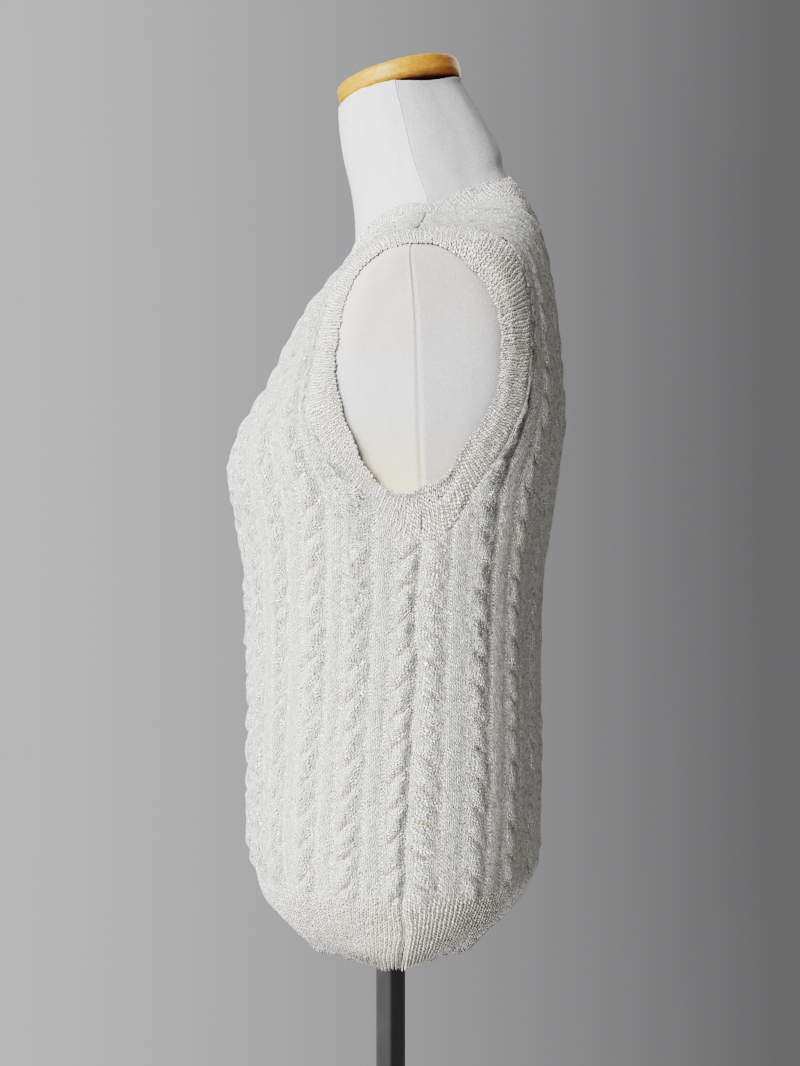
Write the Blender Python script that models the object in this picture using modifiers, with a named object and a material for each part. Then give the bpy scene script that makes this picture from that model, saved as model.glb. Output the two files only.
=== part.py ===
"""Cable-knit sweater vest on a limbless dress form that stands on a pole and a round base.

Metres, +Z up. The wearer's front faces -Y and the wearer's left is +X. The origin is on the
floor, under the pole. The cloth is laid out flat first, front and back, with its cables and ribs
in flat coordinates, and then wrapped on a skin that is lofted through the sections below.
"""

import math
from collections import namedtuple

import bmesh
import bpy
import numpy as np
from mathutils.bvhtree import BVHTree
from mathutils.geometry import delaunay_2d_cdt

MM = 0.001

# Stand. DATUM is the height of the table's zero, a little below the underarm.
DATUM = 0.930
POLE_RADIUS = 0.0108
BASE_RADIUS = 0.145
BASE_THICKNESS = 0.008
FERRULE_RADIUS = 0.024
FERRULE_HEIGHT = 0.030
SOCKET_RADIUS = 0.034
SOCKET_HEIGHT = 0.010
GAP = 0.0003

# Neck cap, a turned disc of laminated wood
CAP_RADIUS = 0.0460
CAP_THICKNESS = 0.0145
CAP_ROUNDING = 0.004
CAP_CENTRE_Y = 0.0063
CAP_CENTRE_Z = DATUM + 0.3315
CAP_TILT = math.radians(14.0)

# Cloth
CLOTH = 0.0022
RIB_RISE = 0.0013
SEAM_GAP = 0.0003
BAND_GAP = 0.0005
HEM_RIB_HEIGHT = 0.053
CABLE_HALF_WIDTH = 0.0064
CABLE_PERIOD = 0.0205
CABLE_SLANT = 0.0150
CABLE_CREST = 0.0050
CABLE_GROOVE = 0.0036
CABLE_MARGIN = 0.0028
FIRST_CROSSING = HEM_RIB_HEIGHT + 0.004
MOST_CROSSINGS = 24
# A strand's crest in the cable's half widths either side of its middle, and in its slant
CREST_REACH = 0.42
CREST_RISE = 0.24
# The plain inner face of a panel
INNER_HEM_POINTS = 21
INNER_ROWS = (0.018, 0.036, 0.056, 0.09, 0.13, 0.17, 0.21, 0.25, 0.29, 0.33)
INNER_ROWS += (0.36, 0.38, 0.40, 0.42, 0.44, 0.46, 0.48, 0.50, 0.52, 0.54)
INNER_COLUMNS = 15
ARMBAND_RIBS = 138
NECKBAND_RIBS = 122
NECKBAND_WIDTH = 0.022
BAND_STATIONS = 60

# The flat cut of a panel. quarter is its width from the centre line to the side seam, and the
# cables of each half lie spacing apart, from first_cable outwards.
Cut = namedtuple("Cut", "quarter hem_ribs cables first_cable spacing")
FRONT_CUT = Cut(quarter=0.211, hem_ribs=110, cables=7, first_cable=0.0150, spacing=0.0315)
BACK_CUT = Cut(quarter=0.191, hem_ribs=100, cables=6, first_cable=0.0165, spacing=0.0329)

# Sections of the skin, the plain inner face of the cloth, in millimetres above the datum.
# Above the bust they tip up at the back, pass over the shoulders and end in the neck.
# inset is how far the form's own surface lies inside the skin.
Section = namedtuple(
    "Section", "z_front z_side z_back y_front y_side y_back half_width square inset"
)
SECTIONS = (
    Section(-283, -290, -280, -65.5, 7, 68, 131, 2.0, 4),
    Section(-269, -273, -267, -81.5, 8, 85, 143, 2.1, 4),
    Section(-254, -256, -252, -91, 9, 96, 151, 2.2, 5),
    Section(-237, -238, -235, -95, 10, 103, 156, 2.3, 5),
    Section(-200, -200, -200, -99, 12, 106, 158, 2.3, 4),
    Section(-150, -150, -150, -99, 14.5, 107, 155, 2.3, 5),
    Section(-96, -96, -96, -99, 17, 106, 149, 2.3, 9),
    Section(-40, -40, -40, -102, 19, 108, 146, 2.3, 7),
    Section(0, 0, 0, -106, 21, 113, 146, 2.35, 4),
    Section(27, 27, 27, -111, 22, 117, 148, 2.4, 3.5),
    Section(52, 52, 52, -112, 21, 120, 153, 2.45, 3.5),
    Section(80, 80, 80, -100, 20, 123, 162, 2.5, 4),
    Section(107, 107, 107, -84, 19, 122, 169, 2.5, 4.5),
    Section(134, 134, 136, -71, 18, 119.5, 174, 2.45, 4.5),
    Section(150, 160, 168, -61.5, 16, 116.5, 176, 2.35, 4.5),
    Section(162, 183, 195, -50.5, 14, 112.5, 169, 2.2, 4.5),
    Section(174, 198, 217, -42, 18, 108, 138, 2.15, 4.5),
    Section(188, 212, 238, -33, 23, 100, 100, 2.1, 4.5),
    Section(203, 227, 256, -28, 27, 90.5, 66, 2.05, 3.5),
    Section(222, 244, 268, -26, 28, 84, 54, 2.0, 1.5),
    Section(250, 262, 280, -29, 26, 82, 48, 2.0, 0.8),
    Section(282, 288, 294, -36, 19, 75, 45, 2.0, 0.5),
    Section(310, 321, 332, -39, 6, 52.5, 44, 2.0, 0.5),
)
UNDERARM_ROW = 9
# How the height of a section bends from its side to its front and back: low ones sag at once
# from the side, high ones stay level beside the arm and turn up late.
LOW_SECTIONS_TOP = -0.200
LOW_BEND = 0.6
HIGH_BEND = 2.0
FORM_BOTTOM_ROW = 2.5
NECK_TOP_ROW = len(SECTIONS) - 1

# The arm plates cut the shoulders off flat. The plate's plane leans out as it rises.
PLATE_X = 0.150
PLATE_LEAN = 0.090
PLATE_FOOT = 0.030
PLATE_ROUNDING = 0.012

# Armhole edge of each panel, from the side seam up to the shoulder.
# share is the part of the quarter round from the centre line, height is above the datum.
EdgePoint = namedtuple("EdgePoint", "share height")
ARMHOLE_EDGE = (
    EdgePoint(1.000, -0.005),
    EdgePoint(0.950, -0.003),
    EdgePoint(0.900, 0.005),
    EdgePoint(0.855, 0.019),
    EdgePoint(0.820, 0.039),
    EdgePoint(0.795, 0.066),
    EdgePoint(0.775, 0.100),
    EdgePoint(0.750, 0.140),
)
SHOULDER_TIP_SHARE = 0.705

# Arm opening seen from the side, round its own centre. angle is in degrees from the back,
# over the shoulder, to the front.
ARM_CENTRE_Y = 0.020
ARM_CENTRE_Z = 0.107
OpeningPoint = namedtuple("OpeningPoint", "angle radius lift")
ARM_OPENING = (
    OpeningPoint(0, 0.0535, 0.0010),
    OpeningPoint(30, 0.0620, 0.0010),
    OpeningPoint(60, 0.0715, 0.0010),
    OpeningPoint(90, 0.0835, 0.0010),
    OpeningPoint(120, 0.0785, 0.0010),
    OpeningPoint(150, 0.0640, 0.0015),
    OpeningPoint(180, 0.0553, 0.0025),
    OpeningPoint(210, 0.0575, 0.0040),
    OpeningPoint(235, 0.0680, 0.0055),
    OpeningPoint(250, 0.0780, 0.0060),
    OpeningPoint(258, 0.0870, 0.0060),
    OpeningPoint(266, 0.0800, 0.0050),
    OpeningPoint(275, 0.0765, 0.0045),
    OpeningPoint(300, 0.0590, 0.0030),
    OpeningPoint(330, 0.0530, 0.0015),
)

# Neckline of the panels: in front a V of this height at its round point, straight in the flat
# cloth, and behind a flat curve in plan.
NECK_HALF_WIDTH = 0.080
NECK_SIDE_Y = 0.0260
NECK_POINT_HEIGHT = 0.147
NECK_BACK_Y = 0.0980
NECK_POINT_ROUNDING = 0.16
NECK_BACK_BEND = 3.2
NECKBAND_LIFT = 0.0010
NECKBAND_LIFT_FRONT = 0.0050

COLOURS = {
    "yarn": (0.86, 0.84, 0.80, 1.0),
    "jersey": (0.88, 0.87, 0.85, 1.0),
    "wood": (0.62, 0.40, 0.20, 1.0),
    "steel": (0.10, 0.10, 0.11, 1.0),
}


# ---------------------------------------------------------------- skin


def section_at(row):
    """The nine measures of the section at any row, in metres, by a Catmull-Rom spline."""
    table = np.array(SECTIONS)
    row = np.clip(np.asarray(row, float), 0, len(table) - 1)
    low = np.minimum(row.astype(int), len(table) - 2)
    step = (row - low)[..., None]
    p0 = table[np.maximum(low - 1, 0)]
    p1 = table[low]
    p2 = table[low + 1]
    p3 = table[np.minimum(low + 2, len(table) - 1)]
    curve = 2 * p1 + (p2 - p0) * step
    curve = curve + (2 * p0 - 5 * p1 + 4 * p2 - p3) * step**2
    curve = curve + (3 * p1 - p0 - 3 * p2 + p3) * step**3
    measures = curve / 2
    millimetres = np.array([MM] * 7 + [1.0, MM])
    return Section(*np.moveaxis(measures * millimetres, -1, 0))


def loft(section, across, along):
    """A point of a section: across is x over the half width, along runs from 1 in front to -1."""
    end_y = np.where(along > 0, section.y_front, section.y_back)
    end_z = np.where(along > 0, section.z_front, section.z_back)
    reach = np.abs(along)
    bend = np.where(section.z_side < LOW_SECTIONS_TOP, LOW_BEND, HIGH_BEND)
    x = section.half_width * across
    y = section.y_side + (end_y - section.y_side) * reach
    z = section.z_side + (end_z - section.z_side) * reach**bend
    return np.stack([x, y, z + DATUM], axis=-1)


def skin(angle, row):
    """The skin at an angle from the centre front, round by the wearer's left, at a row."""
    section = section_at(row)
    power = 2 / section.square
    across = np.sign(np.sin(angle)) * np.abs(np.sin(angle)) ** power
    along = np.sign(np.cos(angle)) * np.abs(np.cos(angle)) ** power
    return loft(section, across, along)


def arm_plate_x(z):
    """How far out the arm plate is at a height. Below its foot it runs away outwards."""
    height = z - DATUM
    below = np.maximum(PLATE_FOOT - height, 0)
    return PLATE_X + PLATE_LEAN * (height - PLATE_FOOT) + 6 * below


def cut_by_arm_plates(points):
    """Holds each point inside the arm plates, with a rounded rim."""
    x = np.abs(points[..., 0])
    plate = arm_plate_x(points[..., 2])
    mix = np.clip(0.5 + 0.5 * (plate - x) / PLATE_ROUNDING, 0, 1)
    held = plate * (1 - mix) + x * mix - PLATE_ROUNDING * mix * (1 - mix)
    cut = points.copy()
    cut[..., 0] = np.sign(points[..., 0]) * held
    return cut


def skin_grid(rows, angles):
    row, angle = np.meshgrid(rows, angles, indexing="ij")
    return cut_by_arm_plates(skin(angle, row))


def grid_normals(grid):
    """Outward normals of a grid of rows that run up and angles that run round."""
    round_it = np.roll(grid, -1, axis=1) - np.roll(grid, 1, axis=1)
    up = np.gradient(grid, axis=0)
    normals = np.cross(round_it, up)
    return normals / np.linalg.norm(normals, axis=-1, keepdims=True)


def grid_faces(rows, columns, closed=True):
    """Quads of a grid of points, row by row."""
    faces = []
    for i in range(rows - 1):
        for j in range(columns if closed else columns - 1):
            k = (j + 1) % columns
            faces.append(
                (
                    i * columns + j,
                    i * columns + k,
                    (i + 1) * columns + k,
                    (i + 1) * columns + j,
                )
            )
    return faces


def skin_tree():
    """The skin as a fine mesh that points are laid on."""
    rows = np.linspace(0, NECK_TOP_ROW, NECK_TOP_ROW * 10 + 1)
    angles = np.linspace(0, 2 * math.pi, 240, endpoint=False)
    grid = skin_grid(rows, angles)
    faces = grid_faces(len(rows), len(angles))
    return BVHTree.FromPolygons(grid.reshape(-1, 3).tolist(), faces)


def laid_on(tree, points, lifts):
    """Each point moved to the nearest place on the skin, and lifted off it."""
    laid = []
    for point, lift in zip(np.asarray(points).tolist(), lifts, strict=True):
        place, normal, _, _ = tree.find_nearest(point)
        laid.append(np.array(place) + np.array(normal) * lift)
    return np.array(laid)


# ---------------------------------------------------------------- flat cloth to skin


class Drape:
    """Half of the front or the back: columns of knitting, each a path from the hem up.

    share is the column's part of the quarter round, and v the length along it from the hem.
    """

    COLUMNS = 61
    STEPS = 121
    LOWER_ROWS = 60
    UPPER_ROWS = 60
    SAMPLES = 200

    def __init__(self, cut, front):
        self.cut = cut
        self.front = front
        self.shares = np.linspace(0, 1, self.COLUMNS)
        lower = self.lower_paths()
        upper = self.upper_paths(lower[:, -1, 0])
        paths = cut_by_arm_plates(np.concatenate([lower, upper], axis=1))
        lengths = np.linalg.norm(np.diff(paths, axis=1), axis=-1)
        lengths = np.concatenate(
            [np.zeros((self.COLUMNS, 1)), np.cumsum(lengths, axis=1)], axis=1
        )
        self.ends = lengths[:, -1]
        self.grid = np.empty((self.COLUMNS, self.STEPS, 3))
        for column in range(self.COLUMNS):
            at = np.linspace(0, self.ends[column], self.STEPS)
            for axis in range(3):
                self.grid[column, :, axis] = np.interp(
                    at, lengths[column], paths[column, :, axis]
                )
        self.normals = self.grid_normals()

    def lower_paths(self):
        """Below the underarm a column keeps its share of each section's own length."""
        quarter = np.linspace(0, math.pi / 2, 181)
        angles = quarter if self.front else math.pi - quarter
        rows = np.linspace(0, UNDERARM_ROW, self.LOWER_ROWS)
        paths = np.empty((self.COLUMNS, self.LOWER_ROWS, 3))
        for index, row in enumerate(rows):
            ring = skin(angles, np.full_like(angles, row))
            run = np.linalg.norm(np.diff(ring, axis=0), axis=1)
            run = np.concatenate([[0], np.cumsum(run)])
            for axis in range(3):
                paths[:, index, axis] = np.interp(
                    self.shares * run[-1], run, ring[:, axis]
                )
        return paths

    def upper_paths(self, column_x):
        """Above the underarm a column rises in a plane of its own, x constant, to the ridge."""
        widths = section_at(np.linspace(14, NECK_TOP_ROW, 400)).half_width
        rows = np.linspace(14, NECK_TOP_ROW, 400)
        paths = np.empty((self.COLUMNS, self.UPPER_ROWS, 3))
        rise = 1 - (1 - np.linspace(0, 1, self.UPPER_ROWS + 1)[1:]) ** 2
        for column, x in enumerate(column_x):
            ridge = np.interp(-max(x, 0.050), -widths, rows)
            section = section_at(UNDERARM_ROW + (ridge - UNDERARM_ROW) * rise)
            across = np.clip(x / section.half_width, 0, 1)
            along = (1 - across**section.square) ** (1 / section.square)
            paths[column] = loft(section, across, along if self.front else -along)
        return paths

    def grid_normals(self):
        over = np.gradient(self.grid, axis=0)
        up = np.gradient(self.grid, axis=1)
        normals = np.cross(over, up)
        normals[0, :, 0] = 0
        normals /= np.linalg.norm(normals, axis=-1, keepdims=True)
        return normals if self.front else -normals

    def end_of(self, share):
        """The length of a column from the hem to the shoulder ridge."""
        return np.interp(np.abs(share), self.shares, self.ends)

    def sample(self, values, share, v):
        """A value of the grid at a share and a length, straight between its points."""
        column = np.clip(np.abs(share), 0, 1) * (self.COLUMNS - 1)
        step = np.clip(v / self.end_of(share), 0, 1) * (self.STEPS - 1)
        i = np.minimum(column.astype(int), self.COLUMNS - 2)
        j = np.minimum(step.astype(int), self.STEPS - 2)
        a = (column - i)[:, None]
        b = (step - j)[:, None]
        low = values[i, j] * (1 - b) + values[i, j + 1] * b
        high = values[i + 1, j] * (1 - b) + values[i + 1, j + 1] * b
        return low * (1 - a) + high * a

    def place(self, share, v, height):
        """Points of the cloth in space, raised by height. A negative share is the right side."""
        share = np.asarray(share, float)
        v = np.asarray(v, float)
        side = np.where(share < 0, -1.0, 1.0)
        mirror = np.stack([side, np.ones_like(side), np.ones_like(side)], axis=-1)
        normal = self.sample(self.normals, share, v)
        normal /= np.linalg.norm(normal, axis=-1, keepdims=True)
        point = self.sample(self.grid, share, v) + normal * np.asarray(height)[:, None]
        return point * mirror

    def length_at_height(self, share, height):
        column = self.sample_column(share)
        return float(np.interp(height + DATUM, column[:, 2], self.column_v(share)))

    def sample_column(self, share):
        v = self.column_v(share)
        return self.sample(self.grid, np.full_like(v, share), v)

    def column_v(self, share):
        return np.linspace(0, float(self.end_of(share)), self.SAMPLES)

    def neckline_length(self, share):
        """Where the neckline crosses a column."""
        neck_share = self.share_at_x(NECK_HALF_WIDTH)
        out = min(share / neck_share, 1)
        if self.front:
            point = NECK_POINT_ROUNDING
            along = (math.hypot(out, point) - point) / (math.hypot(1, point) - point)
            low = self.length_at_height(0, NECK_POINT_HEIGHT)
            return low + (float(self.end_of(neck_share)) - low) * along
        y = NECK_BACK_Y + (NECK_SIDE_Y - NECK_BACK_Y) * out**NECK_BACK_BEND
        upper_half = slice(self.SAMPLES // 2, None)
        y_down = -self.sample_column(share)[upper_half, 1]
        return float(np.interp(-y, y_down, self.column_v(share)[upper_half]))

    def share_at_x(self, x):
        """The column whose plane is at x above the underarm."""
        return float(np.interp(x, self.grid[:, -1, 0], self.shares))


def smooth_through(table, share):
    """The armhole edge's height at a share, on a curve through its points."""
    shares = np.array([row.share for row in table])[::-1]
    heights = np.array([row.height for row in table])[::-1]
    slopes = np.gradient(heights, shares)
    i = int(np.clip(np.searchsorted(shares, share) - 1, 0, len(shares) - 2))
    width = shares[i + 1] - shares[i]
    s = (share - shares[i]) / width
    value = heights[i] * (1 + 2 * s) * (1 - s) ** 2
    value += slopes[i] * width * s * (1 - s) ** 2
    value += heights[i + 1] * s**2 * (3 - 2 * s)
    value += slopes[i + 1] * width * s**2 * (s - 1)
    return float(value)


def armhole_edge(drape):
    """The armhole edge of half a panel, as shares and lengths, from the side seam up."""
    steps = np.linspace(0, 1, 22)
    first = ARMHOLE_EDGE[0].share
    last = ARMHOLE_EDGE[-1].share
    shares = [first + (last - first) * step**1.15 for step in steps]
    lengths = [
        drape.length_at_height(share, smooth_through(ARMHOLE_EDGE, share))
        for share in shares
    ]
    tip = float(drape.end_of(SHOULDER_TIP_SHARE))
    rest = np.linspace(0, 1, 9)[1:]
    shares += [last + (SHOULDER_TIP_SHARE - last) * step for step in rest]
    lengths += [lengths[-1] + (tip - lengths[-1]) * step for step in rest]
    return np.array(shares), np.array(lengths)


def panel_top(drape):
    """The upper boundary of half a panel, from the side seam to the centre line."""
    arm_shares, arm_lengths = armhole_edge(drape)
    neck_share = drape.share_at_x(NECK_HALF_WIDTH)
    shoulder = np.linspace(SHOULDER_TIP_SHARE, neck_share, 8)[1:]
    neck = np.linspace(neck_share, 0, 15)[1:]
    shares = np.concatenate([arm_shares, shoulder, neck])
    lengths = np.concatenate(
        [
            arm_lengths,
            drape.end_of(shoulder),
            [drape.neckline_length(share) for share in neck],
        ]
    )
    return shares, lengths


# ---------------------------------------------------------------- solids from walls


def bridge(loop_a, at_a, loop_b, at_b):
    """Triangles between two closed loops of points whose places run from 0 to 1."""
    faces = []
    i = 0
    j = 0
    while i < len(loop_a) or j < len(loop_b):
        next_a = at_a[i + 1] if i + 1 < len(loop_a) else 1 + at_a[0]
        next_b = at_b[j + 1] if j + 1 < len(loop_b) else 1 + at_b[0]
        a = loop_a[i % len(loop_a)]
        b = loop_b[j % len(loop_b)]
        if j >= len(loop_b) or (i < len(loop_a) and next_a <= next_b):
            faces.append((a, loop_a[(i + 1) % len(loop_a)], b))
            i += 1
        else:
            faces.append((a, loop_b[(j + 1) % len(loop_b)], b))
            j += 1
    return faces


def material(name, roughness, metallic=0.0):
    made = bpy.data.materials.get(name)
    if made is None:
        made = bpy.data.materials.new(name)
        made.use_nodes = True
        shader = made.node_tree.nodes["Principled BSDF"]
        shader.inputs["Base Color"].default_value = COLOURS[name]
        shader.inputs["Roughness"].default_value = roughness
        shader.inputs["Metallic"].default_value = metallic
    return made


def mesh_object(collection, name, points, faces, finish):
    """An object of these points and faces, with its faces turned out."""
    mesh = bpy.data.meshes.new(name)
    mesh.from_pydata([tuple(point) for point in points], [], faces)
    form = bmesh.new()
    form.from_mesh(mesh)
    bmesh.ops.recalc_face_normals(form, faces=form.faces)
    form.to_mesh(mesh)
    form.free()
    mesh.materials.append(finish)
    made = bpy.data.objects.new(name, mesh)
    collection.objects.link(made)
    return made


# ---------------------------------------------------------------- panels


class Wall:
    """Points of one face of a panel in flat coordinates, with the edges that must stay."""

    def __init__(self, quarter):
        self.quarter = quarter
        self.share = []
        self.v = []
        self.height = []
        self.edges = []

    def add(self, share, v, height):
        self.share.append(share)
        self.v.append(v)
        self.height.append(height)
        return len(self.share) - 1

    def link(self, a, b):
        if a is not None and b is not None:
            self.edges.append((a, b))

    def triangles(self, loop):
        """The triangles inside the loop, through every point and along every kept edge."""
        flat = [(s * self.quarter, v) for s, v in zip(self.share, self.v, strict=True)]
        ring = [(loop[i], loop[(i + 1) % len(loop)]) for i in range(len(loop))]
        result = delaunay_2d_cdt(flat, ring + self.edges, [], 1, 1e-7)
        back = [origins[0] for origins in result[3]]
        return [tuple(back[corner] for corner in face) for face in result[2]]


def panel_boundary(drape, hem_points):
    """The shares and lengths of a panel's outline, anticlockwise from the hem's right end."""
    top_shares, top_lengths = panel_top(drape)
    seam_share = 1 - SEAM_GAP / 2 / drape.cut.quarter
    hem_shares = np.linspace(-seam_share, seam_share, hem_points)
    seam_lengths = np.linspace(0, top_lengths[0], 16)[1:-1]
    left_shares = np.minimum(top_shares, seam_share)
    left_lengths = top_lengths.copy()
    on_ridge = left_lengths > drape.end_of(left_shares) - SEAM_GAP / 2
    left_lengths[on_ridge] -= SEAM_GAP / 2
    shares = np.concatenate(
        [
            hem_shares,
            np.full(len(seam_lengths), seam_share),
            left_shares,
            -left_shares[-2::-1],
            np.full(len(seam_lengths), -seam_share),
        ]
    )
    lengths = np.concatenate(
        [
            np.zeros(hem_points),
            seam_lengths,
            left_lengths,
            left_lengths[-2::-1],
            seam_lengths[::-1],
        ]
    )
    return shares, lengths


def inside(top_shares, top_lengths, share, v, margin, quarter):
    """Whether a place lies under a panel's upper edge by a margin on every side.

    The upper edge runs from the side seam to the centre line.
    """
    share = abs(share)
    reach = margin / quarter
    if share > 1 - reach:
        return False
    limits = [
        np.interp(s, top_shares[::-1], top_lengths[::-1])
        for s in (max(share - reach, 0), share, min(share + reach, 1))
    ]
    return v < min(limits) - margin


def add_hem_ribs(wall, hem_loop):
    """Knit and purl columns of the hem rib, from the hem points up to the first cable row."""
    for index, bottom in enumerate(hem_loop[1:-1], start=1):
        share = wall.share[bottom]
        rise = RIB_RISE if index % 2 else 0.0
        middle = wall.add(share, HEM_RIB_HEIGHT / 2, CLOTH + rise)
        top = wall.add(share, HEM_RIB_HEIGHT, CLOTH + rise / 2)
        wall.link(bottom, middle)
        wall.link(middle, top)


def add_cable(wall, centre, side, is_inside):
    """A rope of crossing strands. Each strand rises away from the panel's centre line."""

    def put(out, v, height):
        share = side * (centre + out * CABLE_HALF_WIDTH) / wall.quarter
        return wall.add(share, v, height) if is_inside(share, v) else None

    inner = None
    outer = None
    for crossing in range(MOST_CROSSINGS):
        v = FIRST_CROSSING + crossing * CABLE_PERIOD
        next_inner = put(-1, v, CLOTH)
        groove = put(0, v + CABLE_SLANT / 2, CABLE_GROOVE)
        next_outer = put(1, v + CABLE_SLANT, CLOTH)
        wall.link(inner, next_inner)
        wall.link(outer, next_outer)
        wall.link(next_inner, groove)
        wall.link(groove, next_outer)
        inner = next_inner
        outer = next_outer
        middle = v + (CABLE_PERIOD + CABLE_SLANT) / 2
        low = put(-CREST_REACH, middle - CABLE_SLANT * CREST_RISE, CABLE_CREST)
        high = put(CREST_REACH, middle + CABLE_SLANT * CREST_RISE, CABLE_CREST)
        wall.link(low, high)


def panel(collection, name, drape):
    """The front or the back: hem rib and cables raised on the outer face of one knitted wall."""
    cut = drape.cut
    top = panel_top(drape)
    hem_points = 2 * cut.hem_ribs + 1
    shares, lengths = panel_boundary(drape, hem_points)
    outer = Wall(cut.quarter)
    for index, (share, v) in enumerate(zip(shares, lengths, strict=True)):
        rib = RIB_RISE if index < hem_points and index % 2 else 0.0
        outer.add(share, v, CLOTH + rib)
    outer_loop = list(range(len(shares)))
    add_hem_ribs(outer, outer_loop[:hem_points])
    for side in (1, -1):
        for cable in range(cut.cables):
            add_cable(
                outer,
                cut.first_cable + cable * cut.spacing,
                side,
                lambda s, v: inside(*top, s, v, CABLE_MARGIN, cut.quarter),
            )

    inner = Wall(cut.quarter)
    inner_shares, inner_lengths = panel_boundary(drape, INNER_HEM_POINTS)
    for share, v in zip(inner_shares, inner_lengths, strict=True):
        inner.add(share, v, 0.0)
    inner_loop = list(range(len(inner_shares)))
    for v in INNER_ROWS:
        for share in np.linspace(-0.92, 0.92, INNER_COLUMNS):
            if inside(*top, share, v, 0.009, cut.quarter):
                inner.add(share, v, 0.0)

    faces = outer.triangles(outer_loop)
    start = len(outer.share)
    faces += [tuple(start + c for c in face) for face in inner.triangles(inner_loop)]
    faces += bridge(
        outer_loop,
        loop_places(shares, hem_points),
        [start + c for c in inner_loop],
        loop_places(inner_shares, INNER_HEM_POINTS),
    )
    points = np.concatenate(
        [
            drape.place(outer.share, outer.v, outer.height),
            drape.place(inner.share, inner.v, inner.height),
        ]
    )
    return mesh_object(collection, name, points, faces, material("yarn", 0.9))


def loop_places(shares, hem_points):
    """Places round a panel's outline, counted alike on a fine and a coarse hem."""
    hem = np.linspace(0, 0.5, hem_points)
    rest = len(shares) - hem_points
    return np.concatenate([hem, 0.5 + 0.5 * np.arange(1, rest + 1) / (rest + 1)])


# ---------------------------------------------------------------- bands


def closed_run(points):
    """Places from 0 to 1 along a closed line of points."""
    steps = np.linalg.norm(np.roll(points, -1, axis=0) - points, axis=1)
    return np.concatenate([[0], np.cumsum(steps)]) / steps.sum()


def along_closed(points, places):
    """Points at even places along a closed line."""
    at = closed_run(points)
    loop = np.concatenate([points, points[:1]])
    return np.stack([np.interp(places, at, loop[:, axis]) for axis in range(3)], axis=1)


def band(collection, name, tree, edge_at, opening_at, ribs, rows):
    """A ribbed band between two closed edges, its ribs across it, plain on its inner face.

    edge_at and opening_at give the two edges at places from 0 to 1, opening_at with a lift.
    rows are the shares of the width at which the wall has points.
    """
    points = []
    loops = []
    for count, ribbed in ((2 * ribs, True), (BAND_STATIONS, False)):
        places = np.arange(count) / count
        edge = edge_at(places)
        opening, lifts = opening_at(edge)
        for row in rows:
            height = lifts * row**2
            if ribbed:
                height = height + CLOTH + RIB_RISE * (np.arange(count) % 2)
            lower = edge * (1 - row) + opening * row
            loops.append((len(points), count))
            points.extend(laid_on(tree, lower, height))
    faces = []
    for wall in (0, len(rows)):
        for step in range(len(rows) - 1):
            start_a, count = loops[wall + step]
            start_b, _ = loops[wall + step + 1]
            for j in range(count):
                k = (j + 1) % count
                faces.append((start_a + j, start_a + k, start_b + k, start_b + j))
    for rim in (0, len(rows) - 1):
        start_a, count_a = loops[rim]
        start_b, count_b = loops[len(rows) + rim]
        faces += bridge(
            list(range(start_a, start_a + count_a)),
            np.arange(count_a) / count_a,
            list(range(start_b, start_b + count_b)),
            np.arange(count_b) / count_b,
        )
    return mesh_object(collection, name, points, faces, material("yarn", 0.9))


def armhole_line(front, back):
    """The closed edge round one armhole, on the panels' inner face, a seam's gap inside it."""
    pieces = []
    for drape in (front, back):
        shares, lengths = armhole_edge(drape)
        pieces.append(drape.place(shares, lengths, np.zeros_like(shares)))
    return np.concatenate([pieces[0], pieces[1][::-1][1:-1]])


def arm_opening(edge, side):
    """The arm opening's edge beside each point of the band's outer edge, and its lift."""
    y = edge[:, 1] - ARM_CENTRE_Y
    z = edge[:, 2] - DATUM - ARM_CENTRE_Z
    angle = np.degrees(np.arctan2(z, y)) % 360
    table = np.array(ARM_OPENING)
    angles = np.concatenate([table[-2:, 0] - 360, table[:, 0], table[:2, 0] + 360])
    wrapped = np.concatenate([table[-2:], table, table[:2]])
    radius = cubic(angle, angles, wrapped[:, 1])
    lift = np.interp(angle, angles, wrapped[:, 2])
    turn = np.radians(angle)
    y = ARM_CENTRE_Y + radius * np.cos(turn)
    z = DATUM + ARM_CENTRE_Z + radius * np.sin(turn)
    x = arm_plate_x(z)
    return np.stack([side * x, y, z], axis=1), lift


def cubic(at, places, values):
    """A smooth curve through values at uneven places."""
    slopes = np.gradient(values, places)
    i = np.clip(np.searchsorted(places, at) - 1, 0, len(places) - 2)
    width = places[i + 1] - places[i]
    s = (at - places[i]) / width
    value = values[i] * (1 + 2 * s) * (1 - s) ** 2
    value = value + slopes[i] * width * s * (1 - s) ** 2
    value = value + values[i + 1] * s**2 * (3 - 2 * s)
    return value + slopes[i + 1] * width * s**2 * (s - 1)


def armband(collection, name, tree, front, back, side):
    line = armhole_line(front, back)
    line[:, 0] *= side

    def edge_at(places):
        edge = along_closed(line, places)
        opening, _ = arm_opening(edge, side)
        inward = opening - edge
        inward /= np.linalg.norm(inward, axis=1, keepdims=True)
        return edge + inward * BAND_GAP

    return band(
        collection,
        name,
        tree,
        edge_at,
        lambda edge: arm_opening(edge, side),
        ARMBAND_RIBS,
        (0.0, 0.5, 1.0),
    )


def neckline(front, back):
    """The closed neckline edge of the panels, from the centre front round by the left."""
    pieces = []
    for drape in (front, back):
        neck_share = drape.share_at_x(NECK_HALF_WIDTH)
        shares = np.linspace(0, neck_share, 24)
        lengths = [drape.neckline_length(share) for share in shares]
        pieces.append(drape.place(shares, lengths, np.zeros_like(shares)))
    left = np.concatenate([pieces[0], pieces[1][::-1][1:]])
    right = left[::-1][1:-1] * np.array([-1, 1, 1])
    return np.concatenate([left, right])


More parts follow.
